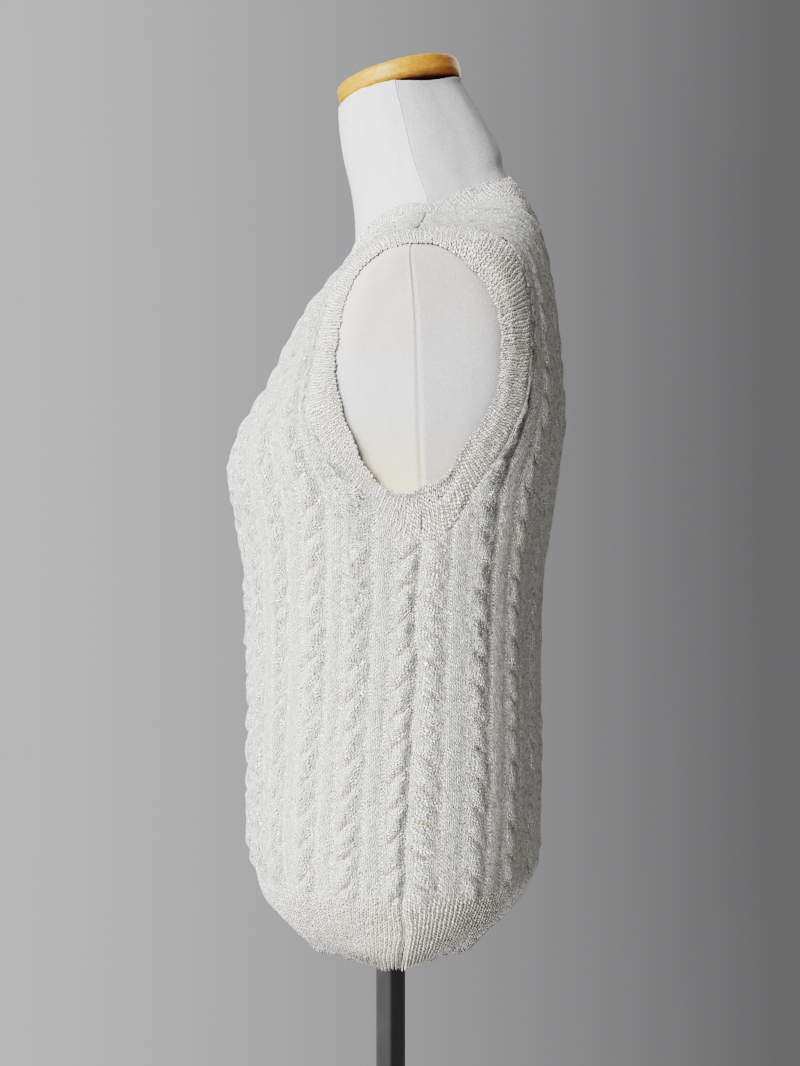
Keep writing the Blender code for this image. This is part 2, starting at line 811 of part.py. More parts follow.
def evened(vectors):
    """Each vector of a closed run replaced by a weighted mean of those near it."""
    reach = len(vectors) // 10
    total = np.zeros_like(vectors)
    for step in range(-reach, reach + 1):
        total += np.roll(vectors, step, axis=0) * (reach + 1 - abs(step))
    return total / np.linalg.norm(total, axis=1, keepdims=True)


def neck_opening(tree, edge):
    """The top edge of the neckband beside each point of its lower edge, and its lift."""
    along = np.roll(edge, -1, axis=0) - np.roll(edge, 1, axis=0)
    normals = np.array([tree.find_nearest(point)[1] for point in edge.tolist()])
    inward = np.cross(normals, along)
    inward = evened(inward / np.linalg.norm(inward, axis=1, keepdims=True))
    near_front = np.clip(1 - np.abs(edge[:, 0]) / NECK_HALF_WIDTH, 0, 1)
    near_front *= edge[:, 1] < NECK_SIDE_Y
    lift = NECKBAND_LIFT + (NECKBAND_LIFT_FRONT - NECKBAND_LIFT) * near_front
    return edge + inward * NECKBAND_WIDTH, lift


def neckband(collection, name, tree, front, back):
    line = neckline(front, back)

    def edge_at(places):
        edge = along_closed(line, places)
        opening, _ = neck_opening(tree, edge)
        return edge + (opening - edge) * BAND_GAP / NECKBAND_WIDTH

    return band(
        collection,
        name,
        tree,
        edge_at,
        lambda edge: neck_opening(tree, edge),
        NECKBAND_RIBS,
        (0.0, 1.0),
    )


# ---------------------------------------------------------------- dress form and stand


def dress_form(collection, name):
    """The foam torso under its jersey cover: one smooth body from the hips to the neck."""
    rows = np.concatenate(
        [
            np.linspace(FORM_BOTTOM_ROW, 9, 7)[:-1],
            np.linspace(9, 18, 12),
            np.linspace(18, NECK_TOP_ROW, 6)[1:],
        ]
    )
    angles = np.linspace(0, 2 * math.pi, 32, endpoint=False)
    grid = skin_grid(rows, angles)
    inset = section_at(rows).inset
    body = grid - grid_normals(grid) * inset[:, None, None]
    floor = body[0, :, 2].mean()
    centre = np.array([0, 0.004, 0])
    rings = []
    for shrink, drop in ((0.72, 0.016), (0.90, 0.012), (0.97, 0.006)):
        ring = centre + (body[0] - centre) * shrink
        ring[:, 2] = floor - drop
        rings.append(ring)
    grid = np.concatenate([np.array(rings), body])
    count = len(angles)
    faces = grid_faces(len(grid), count)
    faces.append(tuple(range(count)))
    top = (len(grid) - 1) * count
    faces.append(tuple(range(top, top + count)))
    made = mesh_object(
        collection, name, grid.reshape(-1, 3), faces, material("jersey", 0.85)
    )
    made.data.shade_smooth()
    return made


def turned(collection, name, profile, finish, steps):
    """A body turned round the Z axis: profile runs down its outer side, top to bottom."""
    mesh = bpy.data.meshes.new(name)
    points = [(radius, 0, height) for radius, height in profile]
    edges = [(i, i + 1) for i in range(len(points) - 1)]
    mesh.from_pydata(points, edges, [])
    mesh.materials.append(finish)
    made = bpy.data.objects.new(name, mesh)
    collection.objects.link(made)
    screw = made.modifiers.new("Turn", "SCREW")
    screw.steps = steps
    screw.render_steps = steps
    screw.use_merge_vertices = True
    screw.merge_threshold = 0.0001
    return made


def rounded_disc(radius, thickness, rounding, centre=0.0):
    """The profile of a disc with rounded rims, top to bottom."""
    half = thickness / 2
    profile = [(0.0, centre + half)]
    for step in range(3):
        turn = math.radians(90 - 45 * step)
        x = radius - rounding + rounding * math.cos(turn)
        profile.append((x, centre + half - rounding + rounding * math.sin(turn)))
    for step in range(3):
        turn = math.radians(-45 * step)
        x = radius - rounding + rounding * math.cos(turn)
        profile.append((x, centre - half + rounding + rounding * math.sin(turn)))
    profile.append((0.0, centre - half))
    return profile


def neck_cap(collection, name):
    cap = turned(
        collection,
        name,
        rounded_disc(CAP_RADIUS, CAP_THICKNESS, CAP_ROUNDING),
        material("wood", 0.45),
        40,
    )
    cap.location = (0, CAP_CENTRE_Y, CAP_CENTRE_Z)
    cap.rotation_euler = (CAP_TILT, 0, 0)
    return cap


def stand(collection, form_bottom):
    """Base plate, ferrule, pole and the socket under the form, each on the one below it."""
    steel = material("steel", 0.3, 1.0)
    turned(
        collection,
        "base_plate",
        [
            (0.0, BASE_THICKNESS),
            (BASE_RADIUS - 0.0015, BASE_THICKNESS),
            (BASE_RADIUS, BASE_THICKNESS - 0.0015),
            (BASE_RADIUS, 0.0),
            (0.0, 0.0),
        ],
        steel,
        48,
    )
    ferrule_foot = BASE_THICKNESS + GAP
    ferrule_top = ferrule_foot + FERRULE_HEIGHT
    turned(
        collection,
        "pole_ferrule",
        [
            (0.0, ferrule_top),
            (FERRULE_RADIUS * 0.70, ferrule_top),
            (FERRULE_RADIUS * 0.76, ferrule_top - 0.003),
            (FERRULE_RADIUS, ferrule_foot + 0.003),
            (FERRULE_RADIUS, ferrule_foot),
            (0.0, ferrule_foot),
        ],
        steel,
        24,
    )
    socket_top = form_bottom - GAP
    socket_foot = socket_top - SOCKET_HEIGHT
    turned(
        collection,
        "pole_socket",
        [
            (0.0, socket_top),
            (SOCKET_RADIUS, socket_top),
            (SOCKET_RADIUS, socket_foot + 0.002),
            (SOCKET_RADIUS - 0.002, socket_foot),
            (0.0, socket_foot),
        ],
        steel,
        24,
    )
    turned(
        collection,
        "pole",
        [
            (0.0, socket_foot - GAP),
            (POLE_RADIUS, socket_foot - GAP),
            (POLE_RADIUS, ferrule_top + GAP),
            (0.0, ferrule_top + GAP),
        ],
        steel,
        24,
    )


def build():
    for old in list(bpy.data.objects):
        bpy.data.objects.remove(old, do_unlink=True)
    collection = bpy.data.collections.new("sweater_vest_on_dress_form")
    bpy.context.scene.collection.children.link(collection)

    tree = skin_tree()
    front = Drape(FRONT_CUT, front=True)
    back = Drape(BACK_CUT, front=False)
    panel(collection, "front_panel", front)
    panel(collection, "back_panel", back)
    neckband(collection, "neckband", tree, front, back)
    armband(collection, "armband_left", tree, front, back, 1)
    armband(collection, "armband_right", tree, front, back, -1)
    form = dress_form(collection, "dress_form")
    form_bottom = min(vertex.co.z for vertex in form.data.vertices)
    neck_cap(collection, "neck_cap")
    stand(collection, form_bottom)


build()
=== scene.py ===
"""Looks of the cable-knit sweater vest on its dress form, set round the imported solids.

Metres, +Z up. The wearer's front faces -Y and the wearer's left is +X. The cloth is worked out
flat, as it is knitted, and laid on the same skin that the solids are lofted through.
"""

import math
from collections import namedtuple

import bpy
import numpy as np
from mathutils.bvhtree import BVHTree
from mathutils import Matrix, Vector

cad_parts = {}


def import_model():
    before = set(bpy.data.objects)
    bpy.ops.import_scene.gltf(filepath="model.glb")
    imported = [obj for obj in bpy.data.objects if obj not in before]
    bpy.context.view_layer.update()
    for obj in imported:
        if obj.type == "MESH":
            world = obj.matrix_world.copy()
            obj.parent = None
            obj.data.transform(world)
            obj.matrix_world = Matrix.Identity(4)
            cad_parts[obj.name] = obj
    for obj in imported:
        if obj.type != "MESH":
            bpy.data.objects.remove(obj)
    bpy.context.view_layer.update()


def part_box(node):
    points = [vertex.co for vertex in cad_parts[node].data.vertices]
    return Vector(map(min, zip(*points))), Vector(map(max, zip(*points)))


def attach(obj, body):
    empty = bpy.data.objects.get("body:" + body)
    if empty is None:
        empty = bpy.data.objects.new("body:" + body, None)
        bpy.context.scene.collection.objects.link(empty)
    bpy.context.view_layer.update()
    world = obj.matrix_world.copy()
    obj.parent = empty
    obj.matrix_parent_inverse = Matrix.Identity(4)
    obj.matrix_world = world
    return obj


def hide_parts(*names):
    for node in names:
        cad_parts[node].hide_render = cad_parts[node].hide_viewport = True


MM = 0.001

# ---- sizes shared with the solids

DATUM = 0.930
CLOTH = 0.0022
RIB_RISE = 0.0013
HEM_RIB_HEIGHT = 0.053
ARMBAND_RIBS = 138
NECKBAND_RIBS = 122
NECKBAND_WIDTH = 0.022
ARMBAND_WIDTH = 0.028

Cut = namedtuple("Cut", "quarter hem_ribs cables first_cable spacing")
FRONT_CUT = Cut(quarter=0.211, hem_ribs=110, cables=7, first_cable=0.0150, spacing=0.0315)
BACK_CUT = Cut(quarter=0.191, hem_ribs=100, cables=6, first_cable=0.0165, spacing=0.0329)

# Sections of the skin from the hem up, in millimetres from the datum and the centre line. square
# is the exponent of the section's outline and inset how far the form lies inside it.
Section = namedtuple(
    "Section", "z_front z_side z_back y_front y_side y_back half_width square inset"
)
SECTIONS = (
    (-283, -290, -280, -65.5, 7, 68, 131, 2.0, 4),
    (-269, -273, -267, -81.5, 8, 85, 143, 2.1, 4),
    (-254, -256, -252, -91, 9, 96, 151, 2.2, 5),
    (-237, -238, -235, -95, 10, 103, 156, 2.3, 5),
    (-200, -200, -200, -99, 12, 106, 158, 2.3, 4),
    (-150, -150, -150, -99, 14.5, 107, 155, 2.3, 5),
    (-96, -96, -96, -99, 17, 106, 149, 2.3, 9),
    (-40, -40, -40, -102, 19, 108, 146, 2.3, 7),
    (0, 0, 0, -106, 21, 113, 146, 2.35, 4),
    (27, 27, 27, -111, 22, 117, 148, 2.4, 3.5),
    (52, 52, 52, -112, 21, 120, 153, 2.45, 3.5),
    (80, 80, 80, -100, 20, 123, 162, 2.5, 4),
    (107, 107, 107, -84, 19, 122, 169, 2.5, 4.5),
    (134, 134, 136, -71, 18, 119.5, 174, 2.45, 4.5),
    (150, 160, 168, -61.5, 16, 116.5, 176, 2.35, 4.5),
    (162, 183, 195, -50.5, 14, 112.5, 169, 2.2, 4.5),
    (174, 198, 217, -42, 18, 108, 138, 2.15, 4.5),
    (188, 212, 238, -33, 23, 100, 100, 2.1, 4.5),
    (203, 227, 256, -28, 27, 90.5, 66, 2.05, 3.5),
    (222, 244, 268, -26, 28, 84, 54, 2.0, 1.5),
    (250, 262, 280, -29, 26, 82, 48, 2.0, 0.8),
    (282, 288, 294, -36, 19, 75, 45, 2.0, 0.5),
    (310, 321, 332, -39, 6, 52.5, 44, 2.0, 0.5),
)
UNDERARM_ROW = 9
HEM_TABLE_TOP = -0.200
FORM_BOTTOM_ROW = 2.5
NECK_TOP_ROW = len(SECTIONS) - 1

PLATE_X = 0.150
PLATE_LEAN = 0.090
PLATE_FOOT = 0.030
PLATE_FOOT_LEAN = 6
PLATE_ROUNDING = 0.012

# The armhole from the side seam up: share of half the panel's width, height over the datum.
ARMHOLE_EDGE = (
    (1.000, -0.005),
    (0.950, -0.003),
    (0.900, 0.005),
    (0.855, 0.019),
    (0.820, 0.039),
    (0.795, 0.066),
    (0.775, 0.100),
    (0.750, 0.140),
)
SHOULDER_TIP_SHARE = 0.705

ARM_CENTRE_Y = 0.020
ARM_CENTRE_Z = 0.107
# The armband's free edge: degrees from the back round by the top, radius, lift off the form.
ARM_OPENING = (
    (0, 0.0535, 0.0003),
    (30, 0.0620, 0.0002),
    (60, 0.0715, 0.0002),
    (90, 0.0835, 0.0001),
    (120, 0.0785, 0.0001),
    (150, 0.0640, 0.0001),
    (180, 0.0553, 0.0005),
    (210, 0.0575, 0.0025),
    (235, 0.0680, 0.0055),
    (250, 0.0780, 0.0060),
    (258, 0.0870, 0.0060),
    (266, 0.0800, 0.0050),
    (275, 0.0765, 0.0045),
    (300, 0.0590, 0.0030),
    (330, 0.0530, 0.0015),
)

NECK_HALF_WIDTH = 0.080
NECK_SIDE_Y = 0.0260
NECK_POINT_HEIGHT = 0.147
NECK_BACK_Y = 0.0980
NECK_POINT_ROUNDING = 0.16
NECK_BACK_BEND = 3.2
NECKBAND_LIFT = 0.0010
NECKBAND_LIFT_FRONT = 0.0050

# ---- looks of the knit

STITCH = 0.0023
RIB_STITCH = 0.0022
HEM_RIB = 0.0029
COURSE = 0.0023
ROPE_STEP = 0.0205
ROPE_HALF_WIDTH = 0.0086
ROPE_RISE = 0.0038
STRAND_LEAN = math.radians(42)
GUTTER_WIDTH = 0.0026
GUTTER_DEPTH = 0.0004
STRIP_CROWN = 0.0004
RIB_TOP = HEM_RIB_HEIGHT - 0.003
RIB_BLEND = 0.014
RIB_RELIEF = 0.34
HEM_PIECE_LENGTH = HEM_RIB_HEIGHT + 0.016
BODY_ROWS = 300
BODY_COLUMNS = 330
POINTS_PER_RIB = 7

# How high the ropes stand at the panel's middle and at its side seam, and what is lost at its top.
Relief = namedtuple("Relief", "middle seam eased")
FRONT_RELIEF = Relief(middle=1.18, seam=0.80, eased=0.40)
BACK_RELIEF = Relief(middle=0.50, seam=0.70, eased=0.10)

BAND_RELIEF = 0.17
BAND_ROWS = 13
BAND_UNDERLAP = 0.07
TURNED_EDGE = 0.003

# ---- form and stand

FORM_INSET = 0.0005
FORM_SEAMS = ((math.pi / 2, 1), (3 * math.pi / 2, -1))
MM_PER_RADIAN = 75
CAP_SEAT = 0.0022
CAP_RADIUS = 0.0460
CAP_THICKNESS = 0.0145
CAP_ROUNDING = 0.0040
CAP_PLACE = (0, 0.0063, DATUM + 0.3315)
CAP_TILT = math.radians(14.0)
CAP_PLY = 0.0048
STAND_ROUNDING = 0.0014
POLE_ROUNDING = 0.0003
FERRULE_TOP = 0.72

# ---- studio

CAMERA_PLACE = (1.3, 0.007, DATUM)
CAMERA_LENS = 59.5
LIT_PLACE = (0, 0, 0.95)
Light = namedtuple("Light", "name place size power colour")
LIGHTS = (
    Light("window", (2.48, -1.82, 2.2), (2.3, 2.1), 209, (0.975, 0.988, 1)),
    Light("front_window", (0.2, -3.0, 1.4), (1.6, 2.0), 20, (1, 1, 1)),
    Light("far_fill", (-2.3, 1.2, 2.2), (1.8, 1.8), 26, (1, 0.97, 0.93)),
    Light("back_fill", (2.4, 2.0, 2.0), (1.6, 1.6), 4, (1, 0.94, 0.88)),
)

# ---- skin


def mixed(low, high, share):
    return low * (1 - share) + high * share


def catmull_rom(p0, p1, p2, p3, share):
    """A place on the smooth curve from p1 to p2, at a share of the way."""
    curve = 2 * p1 + (p2 - p0) * share
    curve = curve + (2 * p0 - 5 * p1 + 4 * p2 - p3) * share**2
    return (curve + (3 * p1 - p0 - 3 * p2 + p3) * share**3) / 2


def run_along(points):
    """How far along a line each of its points lies."""
    steps = np.linalg.norm(np.diff(points, axis=0), axis=1)
    return np.concatenate([[0], np.cumsum(steps)])


def spread(points, shares):
    """Points of a line at shares of its whole length."""
    run = run_along(points)
    at = shares * run[-1]
    return np.stack([np.interp(at, run, points[:, axis]) for axis in range(3)], axis=1)


def section_at(row):
    """The nine measures of the section at any row, in metres, by a smooth curve."""
    table = np.array(SECTIONS)
    row = np.clip(np.asarray(row, float), 0, NECK_TOP_ROW)
    low = np.minimum(row.astype(int), NECK_TOP_ROW - 1)
    near = [table[np.clip(low + step, 0, NECK_TOP_ROW)] for step in (-1, 0, 1, 2)]
    curve = catmull_rom(*near, (row - low)[..., None])
    metres = np.array([MM] * 7 + [1.0, MM])
    return Section(*np.moveaxis(curve * metres, -1, 0))


def loft(section, across, along):
    """A point of a section: across is x over the half width, along runs from 1 in front to -1."""
    end_y = np.where(along > 0, section.y_front, section.y_back)
    end_z = np.where(along > 0, section.z_front, section.z_back)
    reach = np.abs(along)
    rise = np.where(section.z_side < HEM_TABLE_TOP, 0.6, 2.0)
    x = section.half_width * across
    y = mixed(section.y_side, end_y, reach)
    z = mixed(section.z_side, end_z, reach**rise)
    return np.stack([x, y, z + DATUM], axis=-1)


def skin(angle, row):
    """The skin at an angle from the centre front, round by the wearer's left, at a row."""
    section = section_at(row)
    power = 2 / section.square
    across = np.sign(np.sin(angle)) * np.abs(np.sin(angle)) ** power
    along = np.sign(np.cos(angle)) * np.abs(np.cos(angle)) ** power
    return loft(section, across, along)


def arm_plate_x(z):
    height = z - DATUM
    below = np.maximum(PLATE_FOOT - height, 0)
    return PLATE_X + PLATE_LEAN * (height - PLATE_FOOT) + PLATE_FOOT_LEAN * below


def cut_by_arm_plates(points):
    """Holds each point inside the arm plates, with a rounded rim."""
    x = np.abs(points[..., 0])
    plate = arm_plate_x(points[..., 2])
    mix = np.clip(0.5 + 0.5 * (plate - x) / PLATE_ROUNDING, 0, 1)
    held = mixed(plate, x, mix) - PLATE_ROUNDING * mix * (1 - mix)
    cut = points.copy()
    cut[..., 0] = np.sign(points[..., 0]) * held
    return cut


def unit(vectors):
    return vectors / np.maximum(np.linalg.norm(vectors, axis=-1, keepdims=True), 1e-12)


def round_normals(grid):
    """Outward normals of a grid of rows that run up and angles that run round."""
    over = np.roll(grid, -1, axis=1) - np.roll(grid, 1, axis=1)
    up = np.gradient(grid, axis=0)
    return unit(np.cross(over, up))


def grid_quads(rows, columns, closed):
    """The corners of each face of a grid of points."""
    across = columns if closed else columns - 1
    i, j = np.meshgrid(np.arange(rows - 1), np.arange(across), indexing="ij")
    k = (j + 1) % columns
    low, high = i * columns, (i + 1) * columns
    return np.stack([low + j, low + k, high + k, high + j], axis=-1).reshape(-1, 4)


def skin_tree():
    rows = np.linspace(0, NECK_TOP_ROW, NECK_TOP_ROW * 14 + 1)
    angles = np.linspace(0, math.tau, 360, endpoint=False)
    row, angle = np.meshgrid(rows, angles, indexing="ij")
    points = cut_by_arm_plates(skin(angle, row)).reshape(-1, 3)
    faces = grid_quads(len(rows), len(angles), closed=True)
    return BVHTree.FromPolygons(points.tolist(), faces.tolist())


class Drape:
    """Half of the front or the back: columns of knitting, each a path from the hem up."""

    COLUMNS = 161
    STEPS = 401
    LOWER_ROWS = 150
    UPPER_ROWS = 150

    def __init__(self, cut, front):
        self.cut = cut
        self.front = front
        self.shares = np.linspace(0, 1, self.COLUMNS)
        lower = self.lower_paths()
        upper = self.upper_paths(lower[:, -1, 0])
        paths = cut_by_arm_plates(np.concatenate([lower, upper], axis=1))
        self.ends = np.array([run_along(path)[-1] for path in paths])
        self.grid = np.stack([spread(path, np.linspace(0, 1, self.STEPS)) for path in paths])
        over = np.gradient(self.grid, axis=0)
        up = np.gradient(self.grid, axis=1)
        normals = np.cross(over, up)
        normals[0, :, 0] = 0
        self.normals = unit(normals if front else -normals)

    def lower_paths(self):
        """Below the underarm a column keeps its share of each section's own length."""
        quarter = np.linspace(0, math.pi / 2, 361)
        angles = quarter if self.front else math.pi - quarter
        paths = np.empty((self.COLUMNS, self.LOWER_ROWS, 3))
        for index, row in enumerate(np.linspace(0, UNDERARM_ROW, self.LOWER_ROWS)):
            ring = skin(angles, np.full_like(angles, row))
            paths[:, index] = spread(ring, self.shares)
        return paths

    def upper_paths(self, column_x):
        """Above the underarm a column rises in a plane of its own, x constant, to the ridge."""
        rows = np.linspace(14, NECK_TOP_ROW, 400)
        widths = section_at(rows).half_width
        paths = np.empty((self.COLUMNS, self.UPPER_ROWS, 3))
        rise = 1 - (1 - np.linspace(0, 1, self.UPPER_ROWS + 1)[1:]) ** 2
        for column, x in enumerate(column_x):
            ridge = np.interp(-max(x, 0.050), -widths, rows)
            section = section_at(UNDERARM_ROW + (ridge - UNDERARM_ROW) * rise)
            across = np.clip(x / section.half_width, 0, 1)
            along = (1 - across**section.square) ** (1 / section.square)
            paths[column] = loft(section, across, along if self.front else -along)
        return paths

    def end_of(self, share):
        return np.interp(np.abs(share), self.shares, self.ends)

    def sample(self, values, share, v):
        """A value of the grid at a share and a length."""
        column = np.clip(np.abs(share), 0, 1) * (self.COLUMNS - 1)
        step = np.clip(v / self.end_of(share), 0, 1) * (self.STEPS - 1)
        i = np.minimum(column.astype(int), self.COLUMNS - 2)
        j = np.minimum(step.astype(int), self.STEPS - 2)
        a = (column - i)[..., None]
        b = (step - j)[..., None]
        low = mixed(values[i, j], values[i, j + 1], b)
        high = mixed(values[i + 1, j], values[i + 1, j + 1], b)
        return mixed(low, high, a)

    def base(self, share, v):
        """Points of the skin and its normals. A negative share is the wearer's right."""
        side = np.where(share < 0, -1.0, 1.0)[..., None]
        mirror = np.where([True, False, False], side, 1.0)
        point = self.sample(self.grid, share, v) * mirror
        return point, unit(self.sample(self.normals, share, v)) * mirror

    def column(self, share):
        v = np.linspace(0, float(self.end_of(share)), 400)
        return v, self.sample(self.grid, np.full_like(v, share), v)

    def length_at_height(self, share, height):
        v, column = self.column(share)
        return float(np.interp(height + DATUM, column[:, 2], v))

    def share_at_x(self, x):
        return float(np.interp(x, self.grid[:, -1, 0], self.shares))

    def neckline_length(self, share):
        """Where the neckline crosses a column."""
        neck_share = self.share_at_x(NECK_HALF_WIDTH)
        out = min(share / neck_share, 1)
        if self.front:
            point = NECK_POINT_ROUNDING
            along = (math.hypot(out, point) - point) / (math.hypot(1, point) - point)
            low = self.length_at_height(0, NECK_POINT_HEIGHT)
            return mixed(low, float(self.end_of(neck_share)), along)
        y = mixed(NECK_BACK_Y, NECK_SIDE_Y, out**NECK_BACK_BEND)
        v, column = self.column(share)
        return float(np.interp(-y, -column[300:, 1], v[300:]))

    def armhole_edge(self):
        """The armhole edge of half a panel, as shares and lengths, from the side seam up."""
        places, heights = np.array(ARMHOLE_EDGE)[::-1].T
        last = places[0]
        shares = mixed(places[-1], last, np.linspace(0, 1, 60) ** 1.15)
        heights = cubic(shares, places, heights)
        lengths = list(map(self.length_at_height, shares, heights))
        tip = float(self.end_of(SHOULDER_TIP_SHARE))
        rest = np.linspace(0, 1, 20)[1:]
        shares = np.concatenate([shares, last + (SHOULDER_TIP_SHARE - last) * rest])
        lengths = np.concatenate([lengths, lengths[-1] + (tip - lengths[-1]) * rest])
        return shares, lengths

    def neck_edge(self):
        """The neckline of half a panel, as shares and lengths, from the centre out."""
        shares = np.linspace(0, self.share_at_x(NECK_HALF_WIDTH), 60)
        return shares, np.array([self.neckline_length(share) for share in shares])

    def top(self):
        """The upper boundary of half a panel, as rising shares and lengths."""
        neck_shares, neck_lengths = self.neck_edge()
        arm_shares, arm_lengths = self.armhole_edge()
        shoulder = np.linspace(neck_shares[-1], SHOULDER_TIP_SHARE, 20)[:-1]
        shares = np.concatenate([neck_shares[:-1], shoulder, arm_shares[::-1]])
        lengths = [neck_lengths[:-1], self.end_of(shoulder), arm_lengths[::-1]]
        return shares, np.concatenate(lengths)


def cubic(at, places, values):
    """A smooth curve through values at uneven places."""
    slopes = np.gradient(values, places)
    i = np.clip(np.searchsorted(places, at) - 1, 0, len(places) - 2)
    width = places[i + 1] - places[i]
    s = (at - places[i]) / width
    value = values[i] * (1 + 2 * s) * (1 - s) ** 2
    value = value + slopes[i] * width * s * (1 - s) ** 2
    value = value + values[i + 1] * s**2 * (3 - 2 * s)
    return value + slopes[i + 1] * width * s**2 * (s - 1)


def smoothstep(low, high, value):
    t = np.clip((value - low) / (high - low), 0, 1)
    return t * t * (3 - 2 * t)


def hump(value, centre, half):
    """1 at the centre, falling softly to 0 at half away from it."""
    t = np.clip(np.abs(value - centre) / half, 0, 1)
    return (1 - t * t) ** 2


class Noise:
    """Smooth noise between -1 and 1 on a repeating lattice of seeded random values."""

    SIZE = 128

    def __init__(self, seed):
        self.values = np.random.default_rng(seed).uniform(-1, 1, (self.SIZE, self.SIZE))

    def at(self, x, y):
        i = np.floor(x).astype(int)
        j = np.floor(y).astype(int)
        a = smoothstep(0, 1, x - i)
        b = smoothstep(0, 1, y - j)
        i0, i1 = i % self.SIZE, (i + 1) % self.SIZE
        j0, j1 = j % self.SIZE, (j + 1) % self.SIZE
        low = mixed(self.values[i0, j0], self.values[i1, j0], a)
        high = mixed(self.values[i0, j1], self.values[i1, j1], a)
        return mixed(low, high, b)


SWAY = Noise(11)
LUMPS = Noise(12)
WAVES = Noise(13)
PUCKERS = Noise(14)


# ---- relief of the knit

# What a place of the cloth looks like: its height over the plain wall, how far it is purl, how
# deep in a hollow it lies, and its stitch and course numbers. These two have one layer for the
# ground, one for the ropes and one for the rib, and layer says which of them lies on top.
# The yarn paints shade by purl and hollow.
Knit = namedtuple("Knit", "height purl hollow stitch course layer")


def rib_knit(rib, course, half):
    """One by one rib: rib counts knit columns, each at a half number and half wide each way."""
    off = np.abs(rib - np.floor(rib) - 0.5)
    profile = np.clip(1 - (off / half) ** 2, 0, 1) ** 0.7
    purl = smoothstep(half - 0.12, half, off)
    layer = np.zeros(rib.shape, int)
    return Knit(RIB_RISE * 1.25 * profile, purl, 1 - profile, rib[None], course[None], layer)


def column_wander(flat, v):
    """How far the columns of stitches stray, in stitches."""
    return 0.22 * SWAY.at(flat / 0.010 + 3, v / 0.012) + 0.12 * SWAY.at(flat / 0.003, v / 0.005)


def strand_profile(phase):
    """Height of a strand over the crease between strands, by a phase whole at each crease."""
    off = 2 * np.abs(phase - np.floor(phase) - 0.5)
    return 1 - off**2


def cable_knit(flat, v, cut):
    """Ropes of strands that twist outwards as they rise, between purl gutters and plain strips."""
    out = np.abs(flat)
    number = np.clip(np.round((out - cut.first_cable) / cut.spacing), 0, cut.cables - 1)
    side = np.where(flat < 0, 37.0, 0.0)
    key = number + side
    sway = 0.0009 * SWAY.at(number * 3.7 + side, v / 0.045)
    across = out - cut.first_cable - number * cut.spacing - sway

    turns = v / ROPE_STEP + 0.37 * number + 0.12 * SWAY.at(key * 2.3, v / 0.05)
    half_width = ROPE_HALF_WIDTH * (0.74 + 0.30 * strand_profile(turns + 0.5))
    reach = np.clip(across / half_width, -1, 1)
    phase = turns - np.arcsin(reach) / math.pi + 0.07 * LUMPS.at(across / 0.0032, v / 0.0032)
    strand = strand_profile(phase)
    uneven = 1 + 0.25 * SWAY.at(key * 4.1, np.floor(phase) * 2.7)
    body = (1 - reach**2) ** 1.4
    rope = ROPE_RISE * body * (0.10 + 0.90 * strand * uneven)
    slit = (1 - strand) ** 1.6 * body * smoothstep(1.0, -0.4, reach)

    beyond = np.abs(across) - ROPE_HALF_WIDTH
    gutter = hump(beyond, GUTTER_WIDTH * 0.4, GUTTER_WIDTH * 0.9)
    strip = smoothstep(GUTTER_WIDTH * 0.7, GUTTER_WIDTH * 2.2, beyond)
    height = rope - GUTTER_DEPTH * gutter + STRIP_CROWN * strip
    layer = (np.abs(reach) < 1).astype(int)
    purl = (1 - layer) * hump(beyond, GUTTER_WIDTH * 0.4, GUTTER_WIDTH * 0.8)
    # The hollow marks the gutters and the creases between strands, where the yarn paints shade.
    hollow = np.clip(0.42 - height / 0.0030, 0, 1)
    hollow = np.clip(hollow + 0.5 * slit + 0.5 * (1 - strand) ** 1.2 * body, 0, 1)
    along = across * math.sin(STRAND_LEAN) + v * math.cos(STRAND_LEAN)
    stitch = np.stack([out, phase * ROPE_STEP * math.sin(STRAND_LEAN)]) / STITCH
    course = np.stack([v, along]) / COURSE
    return Knit(height, np.clip(purl * 1.2, 0, 1), hollow, stitch, course, layer)


def panel_knit(flat, v, cut):
    """The knit of a panel at a place across and a length: rib at the hem, cables above it."""
    rib = rib_knit(np.abs(flat) / HEM_RIB, v / COURSE, 0.38)
    cable = cable_knit(flat, v, cut)
    start = RIB_TOP + 0.004 * WAVES.at(flat / 0.009, 3.5)
    weight = smoothstep(start, start + RIB_BLEND, v)
    soft = 0.0005 * LUMPS.at(flat / 0.011, v / 0.013) + 0.0009 * WAVES.at(flat / 0.05, v / 0.07)
    soft += 0.00035 * weight * LUMPS.at(flat / 0.0034 + 60, v / 0.0044 + 30)
    soft += 0.0014 * smoothstep(0.10, 0.03, v) * WAVES.at(flat / 0.024 + 11, v / 0.018)
    return Knit(
        height=mixed(RIB_RELIEF * rib.height, cable.height, weight) + soft,
        purl=mixed(rib.purl, cable.purl, weight),
        hollow=mixed(rib.hollow, cable.hollow, weight),
        stitch=np.concatenate([cable.stitch, rib.stitch]),
        course=np.concatenate([cable.course, rib.course]),
        layer=np.where(weight > 0.35, cable.layer, 2),
    )


# ---- meshes


def placed(name, data):
    """An object of the scene for a mesh, a light or a camera."""
    made = bpy.data.objects.new(name, data)
    bpy.context.scene.collection.objects.link(made)
    return made


